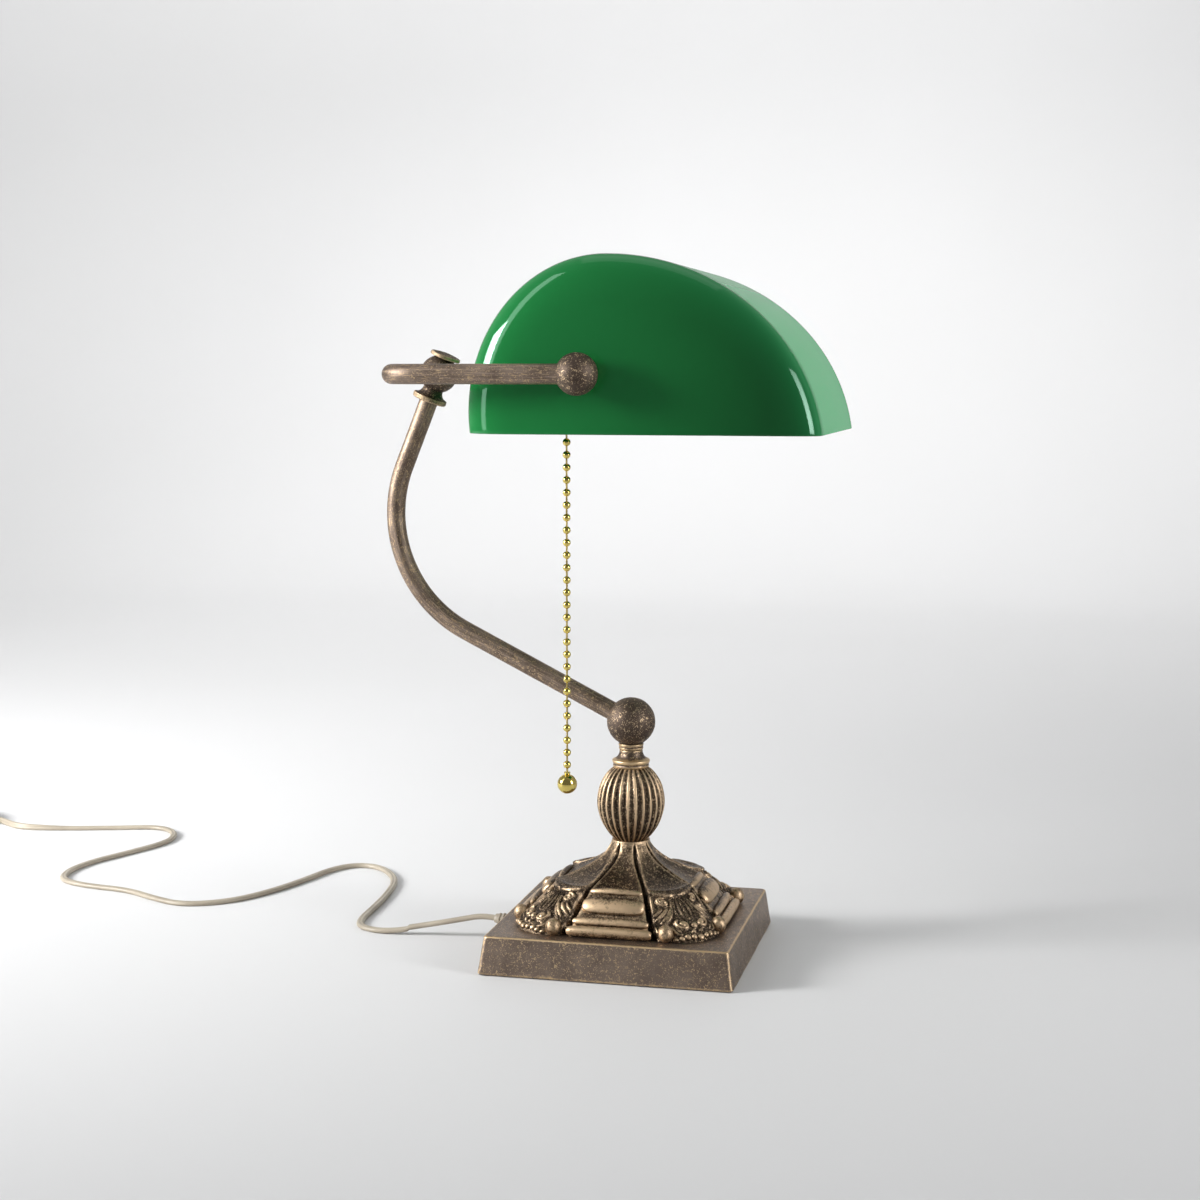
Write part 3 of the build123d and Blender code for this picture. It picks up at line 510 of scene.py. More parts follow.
LAID_Z = 2.4                             # height of the curve where the flex lies on the floor
CORD_DROP = [(-93.2, 0, 14.3), (-107, -1.5, 11.4), (-122, -3, 8.4), (-137, -3, 5.2), (-150, -4, 2.9)]
CORD_WINDS = [
    (-163, -4), (-175, 3), (-179.5, 19), (-180.5, 42), (-183, 78), (-189, 114), (-203, 138),
    (-217, 150), (-233, 149), (-244, 133), (-250, 106), (-261, 70), (-278, 39), (-305, 24),
    (-331, 35), (-356, 50), (-389, 54), (-413, 64), (-421, 86), (-418, 115), (-404, 147),
    (-391, 182), (-395, 205), (-407, 221), (-423, 226), (-441, 220), (-467, 212), (-499, 204),
]


def on_coil(angle, radius, height):
    return Vector((COIL_AT[0] + radius * cos(angle), COIL_AT[1] + radius * sin(angle), height))


def along_coil(angle):
    return Vector((-sin(angle), cos(angle), 0))


def coil_points():
    """Control points of the turns: in along the lower layer, up, and out along the upper one."""
    per_turn = 16
    start = radians(COIL_IN_DEG)
    turns = 5 + (COIL_OUT_DEG - COIL_IN_DEG) / 360
    count = int(turns * per_turn)
    points = []
    for i in range(count + 1):
        share = i / count
        inwards = 1 - abs(1 - 2 * share)
        radius = (COIL_OUTER - (COIL_OUTER - COIL_INNER) * inwards) / cos(pi / per_turn) ** 0.5
        height = COIL_LOW_Z + (COIL_HIGH_Z - COIL_LOW_Z) * smooth_step(0.46, 0.54, share)
        points.append(on_coil(start + 2 * pi * turns * share, radius, height))
    return points


def cord_line():
    """Points along the NURBS curve that the cord's centre follows."""
    into, out = radians(COIL_IN_DEG), radians(COIL_OUT_DEG)
    entry = on_coil(into, COIL_OUTER, COIL_LOW_Z) - along_coil(into) * STUB
    leave = on_coil(out, COIL_OUTER, COIL_HIGH_Z) + along_coil(out) * STUB
    points = [EXIT] + [Vector(p) for p in CORD_DROP] + [Vector((*p, LAID_Z)) for p in CORD_WINDS]
    points += [Vector((-522, 201, 2.6)), entry - along_coil(into) * 20, entry]
    points += coil_points() + [leave]
    points += [leave + along_coil(out) * 10, Vector((PLUG_X, 196.5, PLUG_Z)),
               Vector((PLUG_X, 184.5, PLUG_Z))]
    curve = bpy.data.curves.new("cord_line", "CURVE")
    curve.dimensions = "3D"
    curve.resolution_u = 8
    spline = curve.splines.new("NURBS")
    spline.points.add(len(points) - 1)
    for control, point in zip(spline.points, points):
        control.co = (*(point * MM), 1.0)
    spline.order_u = 3
    spline.use_endpoint_u = True
    holder = bpy.data.objects.new("cord_line", curve)
    mesh = bpy.data.meshes.new_from_object(holder)
    line = [v.co / MM for v in mesh.vertices]
    bpy.data.objects.remove(holder)
    bpy.data.meshes.remove(mesh)
    return line


def flex_section(segments=28):
    """Outline of twin flex: two round cores side by side, with a groove on each face."""
    core = FLEX_H / 2
    offset = FLEX_W / 2 - core
    outline = []
    for t in around(segments):
        x, y = cos(t), sin(t)
        reach = offset * abs(x) + sqrt(max(0.0, core ** 2 - (offset * y) ** 2))
        outline.append((reach * x, reach * y))
    return outline


def make_cord():
    """Flat flex that leaves the base, lies on the floor and turns on edge for the coil."""
    line = cord_line()
    section = flex_section()
    up = Vector((0, 0, 1))
    rings = []
    for i, point in enumerate(line):
        tangent = (line[min(i + 1, len(line) - 1)] - line[max(i - 1, 0)]).normalized()
        side = tangent.cross(up).normalized()
        over = side.cross(tangent)
        to_coil = hypot(point.x - COIL_AT[0], point.y - COIL_AT[1])
        on_edge = pi / 2 * smooth_step(*TURN_IN, to_coil) if point.x > TAIL_FLAT_X else 0.0
        if point.x < TAIL_X and point.y < COIL_AT[1] and to_coil > TAIL_CLEAR:
            on_edge = pi / 2 * smooth_step(*TURN_OUT, to_coil)
        lift = min(0.0, FLEX_H / 2 - LAID_Z) * cos(on_edge) if point.z < 4.5 else 0.0
        wide = side * cos(on_edge) + over * sin(on_edge)
        thick = over * cos(on_edge) - side * sin(on_edge)
        ring = [point + up * lift + wide * x + thick * y for x, y in section]
        sunk = min(0.0, min(p.z for p in ring))
        rings.append([p - up * sunk for p in ring])
    shape = Shape().skin(rings, low_cap=True, high_cap=True)
    cord = shape.make("mains_cord", FLEX, "base", "flex", "power_cord", "cord_coil", "plug_tail",
                      sharp=60)
    length = sum((b - a).length for a, b in zip(line, line[1:])) * MM
    return cord, [tuple(p * MM for p in point) for point in line], length


cord, cord_path, cord_length = make_cord()


def super_ring(half_x, half_y, power, segments=40):
    """A rounded rectangle as a ring of points about a centre."""
    return [(half_x * signed_power(cos(t), 2 / power), half_y * signed_power(sin(t), 2 / power))
            for t in around(segments)]


def make_plug():
    """Flat two-pin plug: a waisted moulded body with a ribbed sleeve for the cord."""
    low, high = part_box("plug_body")
    front, back = low.y / MM, high.y / MM
    middle = (low.x + high.x) / 2 / MM
    centre_z = (low.z + high.z) / 2 / MM
    body_back = front + 36.0
    ribs = 5

    def section(y, half_x, half_z, power):
        return [Vector((middle + x, y, centre_z + z)) for x, z in super_ring(half_x, half_z, power)]

    outline = [
        (front, 16.6, 5.6), (front + 0.8, 17.3, 6.4), (front + 3, 17.5, 6.7), (front + 12, 16.2, 6.6),
        (front + 20, 13.4, 6.3), (front + 27, 10.4, 5.9), (front + 33, 8.3, 5.4), (body_back, 6.6, 4.9),
    ]
    sleeve = []
    for i in range(ribs * 6 + 1):
        share = i / (ribs * 6)
        groove = 0.45 if i % 6 in (3, 4) else 0.0
        sleeve.append(section(body_back + share * (back - body_back), 4.6 - 1.2 * share - groove,
                              3.6 - 0.9 * share - groove, 2.4))
    shape = Shape().skin([section(*row, 3.0) for row in rounded(outline, 4)],
                         low_cap=True, high_cap=True)
    shape.skin(sleeve, high_cap=True)
    for side in (-1, 1):
        for row in range(4):
            shape.ball((middle + side * (16.0 - row * 1.1), front + 10 + row * 3.2, centre_z),
                       (1.0, 0.9, 4.0), 0)
    return shape.make("plug_moulding", PLASTIC, "base", "plug_plastic", "plug_body", sharp=50)


def make_pins():
    """Round contact pins with domed tips and insulating sleeves at their roots."""
    low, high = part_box("plug_pins")
    radius, length = 2.0, high.y / MM - low.y / MM
    root = radius * 0.93
    pin = [(radius * 0.92, 0), (radius * 0.92, 9.6), (radius, 10.0), (radius, length - 1.6),
           (radius * 0.8, length - 0.6), (radius * 0.4, length - 0.1), (0, length)]
    contacts, sleeves = Shape(), Shape()
    for x in (low.x / MM + radius, high.x / MM - radius):
        place = Matrix.Translation((x, high.y / MM, (low.z + high.z) / 2 / MM))
        place @= Matrix.Rotation(radians(90), 4, "X")
        contacts.turned(pin, place, 32)
        sleeves.turned([(root, -0.4), (radius, 0), (radius, 9.6), (root, 9.9)], place, 32)
    return (contacts.make("plug_contacts", STEEL, "base", "steel", "plug_pins"),
            sleeves.make("pin_sleeves", PLASTIC, "base", "plug_plastic"))


def make_tie():
    """A strap round the coil's section, with a small buckle on its outer side."""
    angle = radians(250)
    half_w, half_h, thick = 6.6, 5.3, 0.9
    centre = on_coil(angle, 27.6, half_h)
    outwards = Vector((cos(angle), sin(angle), 0))
    along = along_coil(angle)
    section = ((-3.0, 0), (-3.0, thick), (3.0, thick), (3.0, 0), (-3.0, 0))
    shape = Shape().skin([[centre + along * across + outwards * x + Vector((0, 0, z)) for x, z in
                           super_ring(half_w - thick + extra, half_h - thick + extra, 3.2)]
                          for across, extra in section])
    shape.ball(centre + outwards * half_w, (0.9, 3.8, 2.4), 0, Matrix.Rotation(angle, 3, "Z"))
    return shape.make("coil_strap", RUBBER, "base", "plug_plastic", "coil_tie", sharp=50)


def make_relief():
    """Tapered bush with ribs where the cord leaves the base."""
    outwards = Vector((-1, 0, 0.1425)).normalized()
    start = EXIT - outwards * 12
    side = Vector((0, 1.05, 0))
    over = outwards.cross(side).normalized() * 0.92
    outline = [
        (-2.0, 4.4), (0.0, 4.4), (0.0, 5.6), (1.2, 5.9), (2.2, 5.4), (2.4, 4.5), (3.4, 4.4), (3.7, 5.0),
        (4.6, 4.9), (4.9, 4.1), (5.9, 4.0), (6.2, 4.5), (7.1, 4.4), (7.4, 3.7), (8.4, 3.6), (8.7, 4.0),
        (9.6, 3.9), (9.9, 3.3), (11.6, 3.1), (12.0, 2.8), (12.0, 2.3), (9.0, 2.3),
    ]
    shape = Shape().skin([[start + outwards * reach + (side * cos(t) + over * sin(t)) * radius
                           for t in around(40)] for reach, radius in outline])
    return shape.make("cord_bush", PLASTIC, "base", "rubber", "strain_relief", sharp=50)


plug = make_plug()
pins, sleeves = make_pins()
tie = make_tie()
make_relief()
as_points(cord_path)


# ---------------- floor and light


def make_floor():
    """Seamless pale floor that curves up behind the lamp."""
    near, far, bend, high, side, turn = -1800, 1700, 900, 2600, 4000, 16
    column = [(near, 0), (far, 0)]
    column += [(far + bend * sin(pi / 2 * i / turn), bend * (1 - cos(pi / 2 * i / turn)))
               for i in range(1, turn + 1)]
    column.append((far + bend, high))
    shape = Shape().skin([[Vector((x, y, z)) for x in (-side, side)] for y, z in column],
                         closed=False)
    floor = shape.make("floor", floor_finish("floor_grey"), None)


def make_light(name, place, aim, size, power, spread=180):
    data = bpy.data.lights.new(name, "AREA")
    data.shape = "RECTANGLE"
    data.size, data.size_y = size
    data.energy = power
    data.spread = radians(spread)
    aim = Vector(aim) - Vector(place)
    put_in_scene(name, data, place, aim.to_track_quat("-Z", "Y").to_euler())


def make_world():
    """Bright above and behind, dim towards the front, as in a studio with a dark room."""
    world = bpy.data.worlds.new("studio")
    world.use_nodes = True
    tree = world.node_tree
    direction = tree.nodes.new("ShaderNodeTexCoord").outputs["Generated"]
    parts = tree.nodes.new("ShaderNodeSeparateXYZ")
    tree.links.new(direction, parts.inputs[0])
    fade = tree.nodes.new("ShaderNodeMapRange")
    tree.links.new(parts.outputs["Y"], fade.inputs["Value"])
    for key, value in (("From Min", -0.6), ("From Max", 0.5), ("To Min", 0.19), ("To Max", 0.55)):
        fade.inputs[key].default_value = value
    background = tree.nodes["Background"]
    background.inputs["Color"].default_value = (0.98, 0.99, 1.0, 1)
    tree.links.new(fade.outputs[0], background.inputs["Strength"])
    bpy.context.scene.world = world


make_floor()
make_world()
make_light("key", (-1.8, -0.75, 0.85), (-0.6, 0.4, 0.1), (0.62, 0.62), 16, spread=80)
make_light("top", (0.0, 0.2, 2.3), (0, 0.1, 0), (1.6, 1.2), 4)
make_light("backdrop", (-1.0, 0.9, 2.5), (-0.9, 2.6, 0.6), (3.6, 0.6), 28, spread=100)
make_light("left_strip", (-1.35, -0.9, 1.0), (0, 0, 0.35), (0.32, 2.0), 9)
make_light("right", (1.6, -0.5, 0.75), (0, 0, 0.37), (0.5, 1.0), 2.5, spread=60)
bpy.context.scene.view_settings.view_transform = "Standard"


# ---------------- base

PLATE_TOP_Z = 22.7


def square_ring(half, corner, z, side_steps=24, corner_steps=8):
    """A rounded square as (point, share of corner) pairs."""
    ring = []
    flat = half - corner
    for turn in range(4):
        spin = Matrix.Rotation(pi / 2 * turn, 3, "Z")
        for i in range(side_steps):
            ring.append((spin @ Vector((half, flat * (2 * i / side_steps - 1), z)), 0.0))
        for i in range(corner_steps):
            t = pi / 2 * i / corner_steps
            middle = 1 - abs(2 * i / corner_steps - 1)
            ring.append((spin @ Vector((flat + corner * cos(t), flat + corner * sin(t), z)), middle))
    return ring


def make_plate():
    """Cast plate: drafted sides, worn edges and the slight waviness of a casting."""
    low_half, high_half, low_z, hollow_z = 75.0, 71.85, 0.6, 17.7
    draft = (low_half - high_half) / (PLATE_TOP_Z - low_z)
    outline = [(12, hollow_z, 1.5, 0), (low_half - 4.5, hollow_z, 1.5, 0), (low_half - 4, low_z, 1.5, 0),
               (low_half - 0.5, low_z, 2.3, 0.2), (low_half, low_z + 0.6, 2.5, 0.55),
               (low_half - draft, low_z + 1.8, 2.5, 0.1)]
    outline += [(low_half - draft * (z - low_z), z, 2.5, 0.0) for z in (6, 10, 14, 18, 20.5)]
    for i in range(5):
        t = pi / 2 * i / 4
        outline.append((high_half - 1.0 + 1.05 * cos(t), PLATE_TOP_Z - 1.0 + 1.0 * sin(t), 2.5,
                        0.85 if 0 < i < 4 else 0.3))
    outline += [(half, PLATE_TOP_Z, 2.0, 0.0) for half in (69.8, 66, 60, 50, 30, 10)]
    rings, worn = [], []
    for half, z, corner, wear in outline:
        ring = square_ring(half, min(corner, half * 0.5), z)
        outside = low_z < z < PLATE_TOP_Z and half > 70
        rings.append([p + Vector((p.x, p.y, 0)).normalized() * noise.noise(p * 0.07) * 0.22 * (z > 1)
                      for p, _ in ring])
        worn.append([max(wear, 0.55 * at_corner * outside) for _, at_corner in ring])
    shape = Shape().skin(rings, worn=worn, low_cap=True, high_cap=True)
    return shape.make("base_casting", PLATE, "base", "bronze", "base_plate", sharp=50)


def make_felt():
    """Felt sheet under the base, with a soft uneven edge."""
    outline = ((20, 0.0), (68.6, 0.0), (69.6, 0.3), (69.9, 0.8), (69.7, 1.4), (69.0, 1.6), (20, 1.6))
    rings = [[p + Vector((p.x, p.y, 0)).normalized() * 0.25 * noise.noise(p * 0.9)
              for p, _ in square_ring(half, 4, z, 60, 8)] for half, z in outline]
    shape = Shape().skin(rings, low_cap=True, high_cap=True)
    return shape.make("felt_sheet", FELT, "base", "felt", "felt_pad", sharp=60)


make_plate()
make_felt()


# ---------------- pedestal

FOOT_HALF, FOOT_CORNER = 61.0, 24.0
GAP_DEG = 23.5                      # the gap beside each face panel, from the face's middle

PANEL_SIDE = [                      # distance from the axis, height: the middle of a face
    (11.3, 67.9), (11.9, 65.5), (14.4, 61.5), (19.5, 56.8), (27.5, 51.8), (35.5, 48.0),
    (40.0, 45.4), (46.0, 39.4), (52.0, 33.4), (57.5, 28.2), (60.0, 24.5), (60.4, 22.7),
]
LEG_SIDE = [                        # the middle of a corner leg
    (11.3, 67.9), (12.1, 65.5), (15.5, 61.4), (22.0, 56.6), (31.0, 51.6), (39.5, 48.4),
    (46.0, 47.2), (51.0, 42.0), (57.5, 37.0), (65.0, 31.8), (72.3, 27.2), (76.8, 22.7),
]


def on_profile(profile, share):
    """Point of a profile at a share of its rows, smooth through its corners."""
    place = share * (len(profile) - 1)
    i = min(int(place), len(profile) - 2)
    return between(*[profile[max(0, min(len(profile) - 1, i + k))] for k in (-1, 0, 1, 2)], place - i)


def foot_reach(angle):
    """Distance from the axis to the foot outline, at an angle of 0 to 45 degrees from a face."""
    flat = FOOT_HALF - FOOT_CORNER
    if tan(angle) * FOOT_HALF < flat:
        return FOOT_HALF / cos(angle)
    b = flat * (cos(angle) + sin(angle))
    return b + sqrt(max(0.0, b * b - 2 * flat * flat + FOOT_CORNER ** 2))


LIP_SHARE = 6 / 11                  # share of the leg's profile at which its ornament starts

# Ornament of half a leg, mirrored in the leg's middle: half width and rise of each ridge, then
# its (sideways, down) points in millimetres from the middle of the lip.
LEG_RIDGES = [
    (1.7, 1.3, ((0.0, 4.4), (8.0, 4.1), (15.4, 2.2))),
    (0.9, 1.1, ((0.0, 6.5), (0.0, 13.0), (0.2, 22.0))),
    (0.9, 1.3, ((1.4, 6.3), (2.6, 12.0), (3.2, 17.0), (1.9, 22.0))),
    (0.9, 1.2, ((3.0, 6.2), (4.7, 11.0), (6.0, 16.0), (5.4, 21.0))),
    (1.0, 1.4, ((4.6, 6.2), (6.6, 11.5), (8.8, 17.5), (13.0, 23.0), (16.4, 27.5))),
    (1.1, 1.6, ((7.2, 12.6), (10.2, 17.5), (16.8, 25.4))),
    (1.1, 1.6, ((9.4, 13.0), (12.6, 17.2), (18.4, 23.2))),
    (1.0, 1.4, ((12.2, 13.2), (14.8, 16.4), (18.9, 20.4))),
    (1.8, 1.5, ((14.8, 5.0), (16.4, 8.5), (17.4, 13.5), (18.8, 18.0))),
    (1.1, 1.5, ((12.0, 26.5), (13.4, 30.0), (12.2, 33.6), (9.0, 34.0))),
    (1.2, 1.4, ((20.5, 24.0), (21.5, 29.0), (21.0, 35.0))),
]
LEG_SCROLLS = [                     # half width, rise, centre, radius, turns, first angle
    (0.95, 1.7, (10.4, 9.2), 3.1, 1.35, -110),
    (1.05, 1.8, (6.4, 26.3), 3.9, 1.15, -60),
]
LEG_BERRIES = [                     # radius, rise, sideways, down
    (1.3, 1.2, 10.2, 9.4), (1.9, 2.0, 6.4, 26.4), (2.3, 2.0, 0.0, 27.6), (1.6, 1.6, 2.4, 32.0),
    (2.0, 2.0, 0.4, 36.4), (1.9, 2.1, 4.2, 35.8), (2.0, 1.9, 7.8, 35.6), (1.7, 1.9, 11.3, 36.6),
    (1.5, 1.6, 14.6, 37.4), (1.4, 1.3, 10.6, 31.2),
]


def scroll(centre, radius, turns, first, steps=22):
    """A spiral that winds inwards about its centre."""
    points = []
    for i in range(steps + 1):
        a = radians(first) + 2 * pi * turns * i / steps
        reach = radius * (1 - 0.75 * i / steps)
        points.append((centre[0] + reach * cos(a), centre[1] + reach * sin(a)))
    return points


def ridge_relief(u, v, points, half_width, rise, taper=True):
    """Height of one rounded ridge at arrays of (sideways, down) places."""
    made = np.zeros_like(u)
    count = len(points) - 1
    for i, (a, b) in enumerate(zip(points, points[1:])):
        along = np.array([b[0] - a[0], b[1] - a[1]])
        length = max(1e-6, along @ along)
        t = np.clip(((u - a[0]) * along[0] + (v - a[1]) * along[1]) / length, 0, 1)
        away = np.hypot(u - a[0] - t * along[0], v - a[1] - t * along[1])
        full = 0.35 + 0.65 * np.sin(pi * (i + t) / count) ** 0.5 if taper else 1.0
        height = rise * full * np.sqrt(np.clip(1 - (away / (half_width * full)) ** 2, 0, 1))
        made = np.maximum(made, height)
    return made


def leg_relief(u, v):
    """Height of half a leg's ornament at arrays of (sideways, down) places."""
    height = np.zeros_like(u)
    for half_width, rise, points in LEG_RIDGES:
        height = np.maximum(height, ridge_relief(u, v, rounded(points, 6), half_width, rise))
    for half_width, rise, centre, radius, turns, first in LEG_SCROLLS:
        points = scroll(centre, radius, turns, first)
        height = np.maximum(height, ridge_relief(u, v, points, half_width, rise, False))
    for radius, rise, across, down in LEG_BERRIES:
        away = np.hypot(u - across, v - down) / radius
        height = np.maximum(height, rise * np.sqrt(np.clip(1 - away ** 2, 0, 1)))
    return height


def leg_downs(shares):
    """Distance down the leg's profile from the lip, for each share of the profile."""
    steps = 400
    line = [on_profile(LEG_SIDE, i / steps) for i in range(steps + 1)]
    run = np.concatenate([[0.0], np.cumsum([hypot(b[0] - a[0], b[1] - a[1])
                                            for a, b in zip(line, line[1:])])])
    places = np.linspace(0, 1, steps + 1)
    return np.interp(shares, places, run) - np.interp(LIP_SHARE, places, run)


def profile_normal(profile, share):
    """Unit (outwards, up) normal of a profile."""
    a = on_profile(profile, max(0.0, share - 0.01))
    b = on_profile(profile, min(1.0, share + 0.01))
    out, up = a[1] - b[1], b[0] - a[0]
    length = hypot(out, up)
    return out / length, up / length


def pedestal_point(beside, share, ornament):
    """(reach, height, wear) at an angle beside a face's middle, 0 to 45 degrees."""
    on_panel = beside < GAP_DEG
    profile = PANEL_SIDE if on_panel else LEG_SIDE
    reach, z = on_profile(profile, share)
    if on_panel:
        reach *= 1 + (1 / cos(radians(beside)) - 1) * smooth_step(0.05, 0.5, share)
        edge = GAP_DEG - beside
        middle = beside / GAP_DEG
    else:
        full = foot_reach(radians(45))
        reach *= 1 + (foot_reach(radians(beside)) / full - 1) * smooth_step(0.15, 1.0, share)
        edge = beside - GAP_DEG
        middle = (45 - beside) / (45 - GAP_DEG)
    width = 1.7 + 3.4 * exp(-((share - 0.19) / 0.12) ** 2)
    gap = exp(-(edge / width) ** 4) * smooth_step(0.035, 0.12, share)
    depth = 1.6 + 2.0 * smooth_step(0.1, 0.5, share)
    shield = smooth_step(0.12, 0.35, share) * (1 - smooth_step(0.50, 0.575, share))
    dish = 2.0 * shield * (1 - middle ** 2)
    lift = ornament - dish - gap * depth - 0.5 * smooth_step(0.56, 0.62, share) * (not on_panel)
    out, up = profile_normal(profile, share)
    rim = exp(-((edge - 1.5 * width) / (0.9 * width)) ** 2)
    worn = 0.30 + 0.42 * rim - 1.5 * gap - 0.42 * shield * (1 - middle ** 3)
    worn += 0.30 * (1 - smooth_step(0.0, 0.10, share))
    if not on_panel and share > LIP_SHARE:
        worn = 0.62 * ornament - 0.32 - 0.8 * gap
    return reach + lift * out, z + lift * up, worn


def pillow(shape, centre, size, turn, power, arch):
    """A rounded bar whose ends drop by arch, worn to gold at its ends and, as painted highlight, on its
    outer lower side, with its top left darker as painted shade.
    """
    across, turns = 36, around(24)
    rings, worn = [], []
    for i in range(across + 1):
        s = -cos(pi * i / across)
        shrink = max(0.02, 1 - abs(s) ** power) ** (1 / power)
        rings.append([Vector(centre) + turn @ Vector((
            size[0] * s, size[1] * shrink * signed_power(cos(t), 0.85),
            size[2] * shrink * signed_power(sin(t), 0.85) - arch * s * s)) for t in turns])
        # Partly wear, partly painted light: gold at the ends is wear; gold on the outer lower side is
        # painted highlight and the darker top is painted shade.
        worn.append([0.02 + 0.80 * max(0.0, cos(t - radians(125))) + 0.40 * abs(s) ** 5 for t in turns])
    shape.skin(rings, worn=worn, low_cap=True, high_cap=True)


def add_panel(shape, spin):
    """The stepped front of a face: a lip, a pillow block, a second lip and a bottom roll."""
    slope = Matrix.Rotation(radians(45), 3, "X")
    for y, z, size, power, arch in (
        (-40.8, 45.4, (15.6, 2.2, 1.8), 3.2, 1.3),
        (-47.7, 38.5, (18.4, 5.6, 3.4), 4.0, 0.7),
        (-55.8, 30.9, (22.5, 2.7, 2.5), 4.5, 0.7),
        (-60.2, 26.0, (25.2, 3.1, 3.4), 5.0, 0.2),
    ):
        tilt = slope if y > -58 else Matrix.Rotation(radians(20), 3, "X")
        pillow(shape, spin @ Vector((0, y, z)), size, spin @ tilt, power, arch)


def add_knobs(shape, spin):
    """The two round knobs at the sides of a leg."""
    for side in (-1, 1):
        place = Matrix.Rotation(radians(side * 15.8), 3, "Z") @ Vector((68.0, 0, 0))
        place.z = PLATE_TOP_Z + 4.6
        shape.ball(spin @ place, (4.7, 4.5, 5.2), 0.55, spin, 28)


def make_pedestal():
    """Cast pedestal: flared foot with face panels and corner legs, grooved round neck."""
    besides = [GAP_DEG * i / 22 for i in range(22)]
    besides += [GAP_DEG + (45 - GAP_DEG) * i / 60 for i in range(61)]
    columns = list(enumerate(besides)) + [(i, 90 - besides[i]) for i in range(len(besides) - 2, 0, -1)]
    shares = [LIP_SHARE * i / 56 for i in range(56)]
    shares += [LIP_SHARE + (1 - LIP_SHARE) * i / 96 for i in range(97)]
    outer = foot_reach(radians(45))
    rings, worn = [], []
    for share, down in zip(shares, leg_downs(shares)):
        reach = on_profile(LEG_SIDE, share)[0]
        squared = smooth_step(0.15, 1.0, share)
        across = np.array([
            radians(45 - beside) * reach * (1 + (foot_reach(radians(beside)) / outer - 1) * squared)
            for beside in besides
        ])
        relief = leg_relief(across, np.full(len(besides), down)) if down > 0 else across * 0
        made = [pedestal_point(beside, share, height if beside > GAP_DEG else 0.0)
                for beside, height in zip(besides, relief)]
        ring = []
        for turn in range(4):
            for index, beside in columns:
                reach, z, _ = made[index]
                angle = radians(90 * turn + beside)
                rough = 0.16 * noise.noise(Vector((reach * cos(angle), reach * sin(angle), z)) * 0.6)
                reach += rough * smooth_step(0.0, 0.2, share)
                ring.append(Vector((reach * cos(angle), reach * sin(angle), max(z, PLATE_TOP_Z))))
        rings.append(ring)
        worn.append([made[index][2] for index, _ in columns] * 4)
    shape = Shape().skin(rings, worn=worn, low_cap=True, high_cap=True)
    for turn in range(4):
        add_panel(shape, Matrix.Rotation(pi / 2 * turn, 3, "Z"))
        add_knobs(shape, Matrix.Rotation(pi / 2 * turn + pi / 4, 3, "Z"))
    return shape.make("pedestal_casting", CAST, "base", "bronze", "pedestal", sharp=75)


make_pedestal()


# ---------------- stem

EGG_SIDE = [(9.65, 67.9), (13.6, 72.0), (17.6, 78.5), (20.0, 86.5), (20.2, 93.5), (18.4, 101.5),
            (14.6, 108.0), (10.2, 112.0)]
EGG_RIBS = 26


def make_egg():
    """Egg with raised ribs that meet at its two ends."""
    rows, turns = 64, around(EGG_RIBS * 14)
    ridges = [(0.5 + 0.5 * cos(EGG_RIBS * t)) ** 0.75 for t in turns]
    rings = []
    for i in range(rows + 1):
        radius, z = on_profile(EGG_SIDE, i / rows)
        depth = 1.7 * (radius / 20.2) ** 0.7
        reaches = [radius - depth * (1 - ridge) for ridge in ridges]
        rings.append([Vector((r * cos(t), r * sin(t), z)) for r, t in zip(reaches, turns)])
    worn = [[1.30 * ridge ** 2 - 0.42 for ridge in ridges]] * len(rings)
    shape = Shape().skin(rings, worn=worn, low_cap=True, high_cap=True)
    return shape.make("ribbed_egg", CAST, "base", "bronze", "fluted_egg", sharp=80)


def make_collar():
    """Turned collar over the egg: a rounded rim, a hollow curve and a thin neck."""
    shape = Shape().turned(rounded([
        (5.0, 111.6, 0), (9.6, 111.7, 0), (10.4, 112.1, 0.7), (10.9, 113.0, 0.6), (10.6, 113.9, 0.1),
        (11.0, 114.6, 0.7), (11.3, 115.5, 1.0), (11.1, 116.4, 1.0), (9.8, 117.0, 0.7),
        (8.2, 118.2, 0.1), (7.2, 120.2, 0), (6.8, 122.3, 0.5), (5.0, 122.4, 0),
    ], 4), segments=72)
    return shape.make("turned_collar", TURNED, "base", "bronze", "neck_collar")


def make_cup():
    """Ring that the swivel ball turns on."""
    shape = Shape().turned(rounded([
        (5.0, 122.4, 0), (6.7, 122.4, 0), (7.2, 123.0, 0.6), (7.4, 123.7, 0.6), (7.1, 124.2, 0),
        (7.4, 124.8, 0.6), (7.5, 125.6, 0.6), (7.2, 126.2, 0.5), (5.0, 126.4, 0),
    ], 4))
    return shape.make("swivel_ring", TURNED, "base", "bronze", "swivel_cup")


make_egg()
make_collar()
make_cup()


# ---------------- arm

SWIVEL = Vector((0, 0, 139.3))
SWIVEL_R, CLAMP_R = 14.5, 11.2
TUBE_R = 5.6
RISE = Vector((-cos(radians(26.7)), 0, sin(radians(26.7))))
LEAN = Vector((sin(radians(22.0)), 0, cos(radians(22.0))))
CLAMP = Vector((-118.5, 0, 345.9))
CLAMP_PLACE = Matrix.Translation(CLAMP) @ Matrix.Rotation(radians(22.0), 4, "Y")


def make_swivel():
    """Swivel ball with a flat underside."""
    outline = sphere(SWIVEL_R, -61.5, 90, 24)
    outline = [(5.1, outline[0][1]), (outline[0][0] - 0.3, outline[0][1], 0.5)] + outline
    shape = Shape().turned(outline, Matrix.Translation(SWIVEL), 72)
    return shape.make("swivel_sphere", BALL, "arm", "bronze", "swivel_ball")


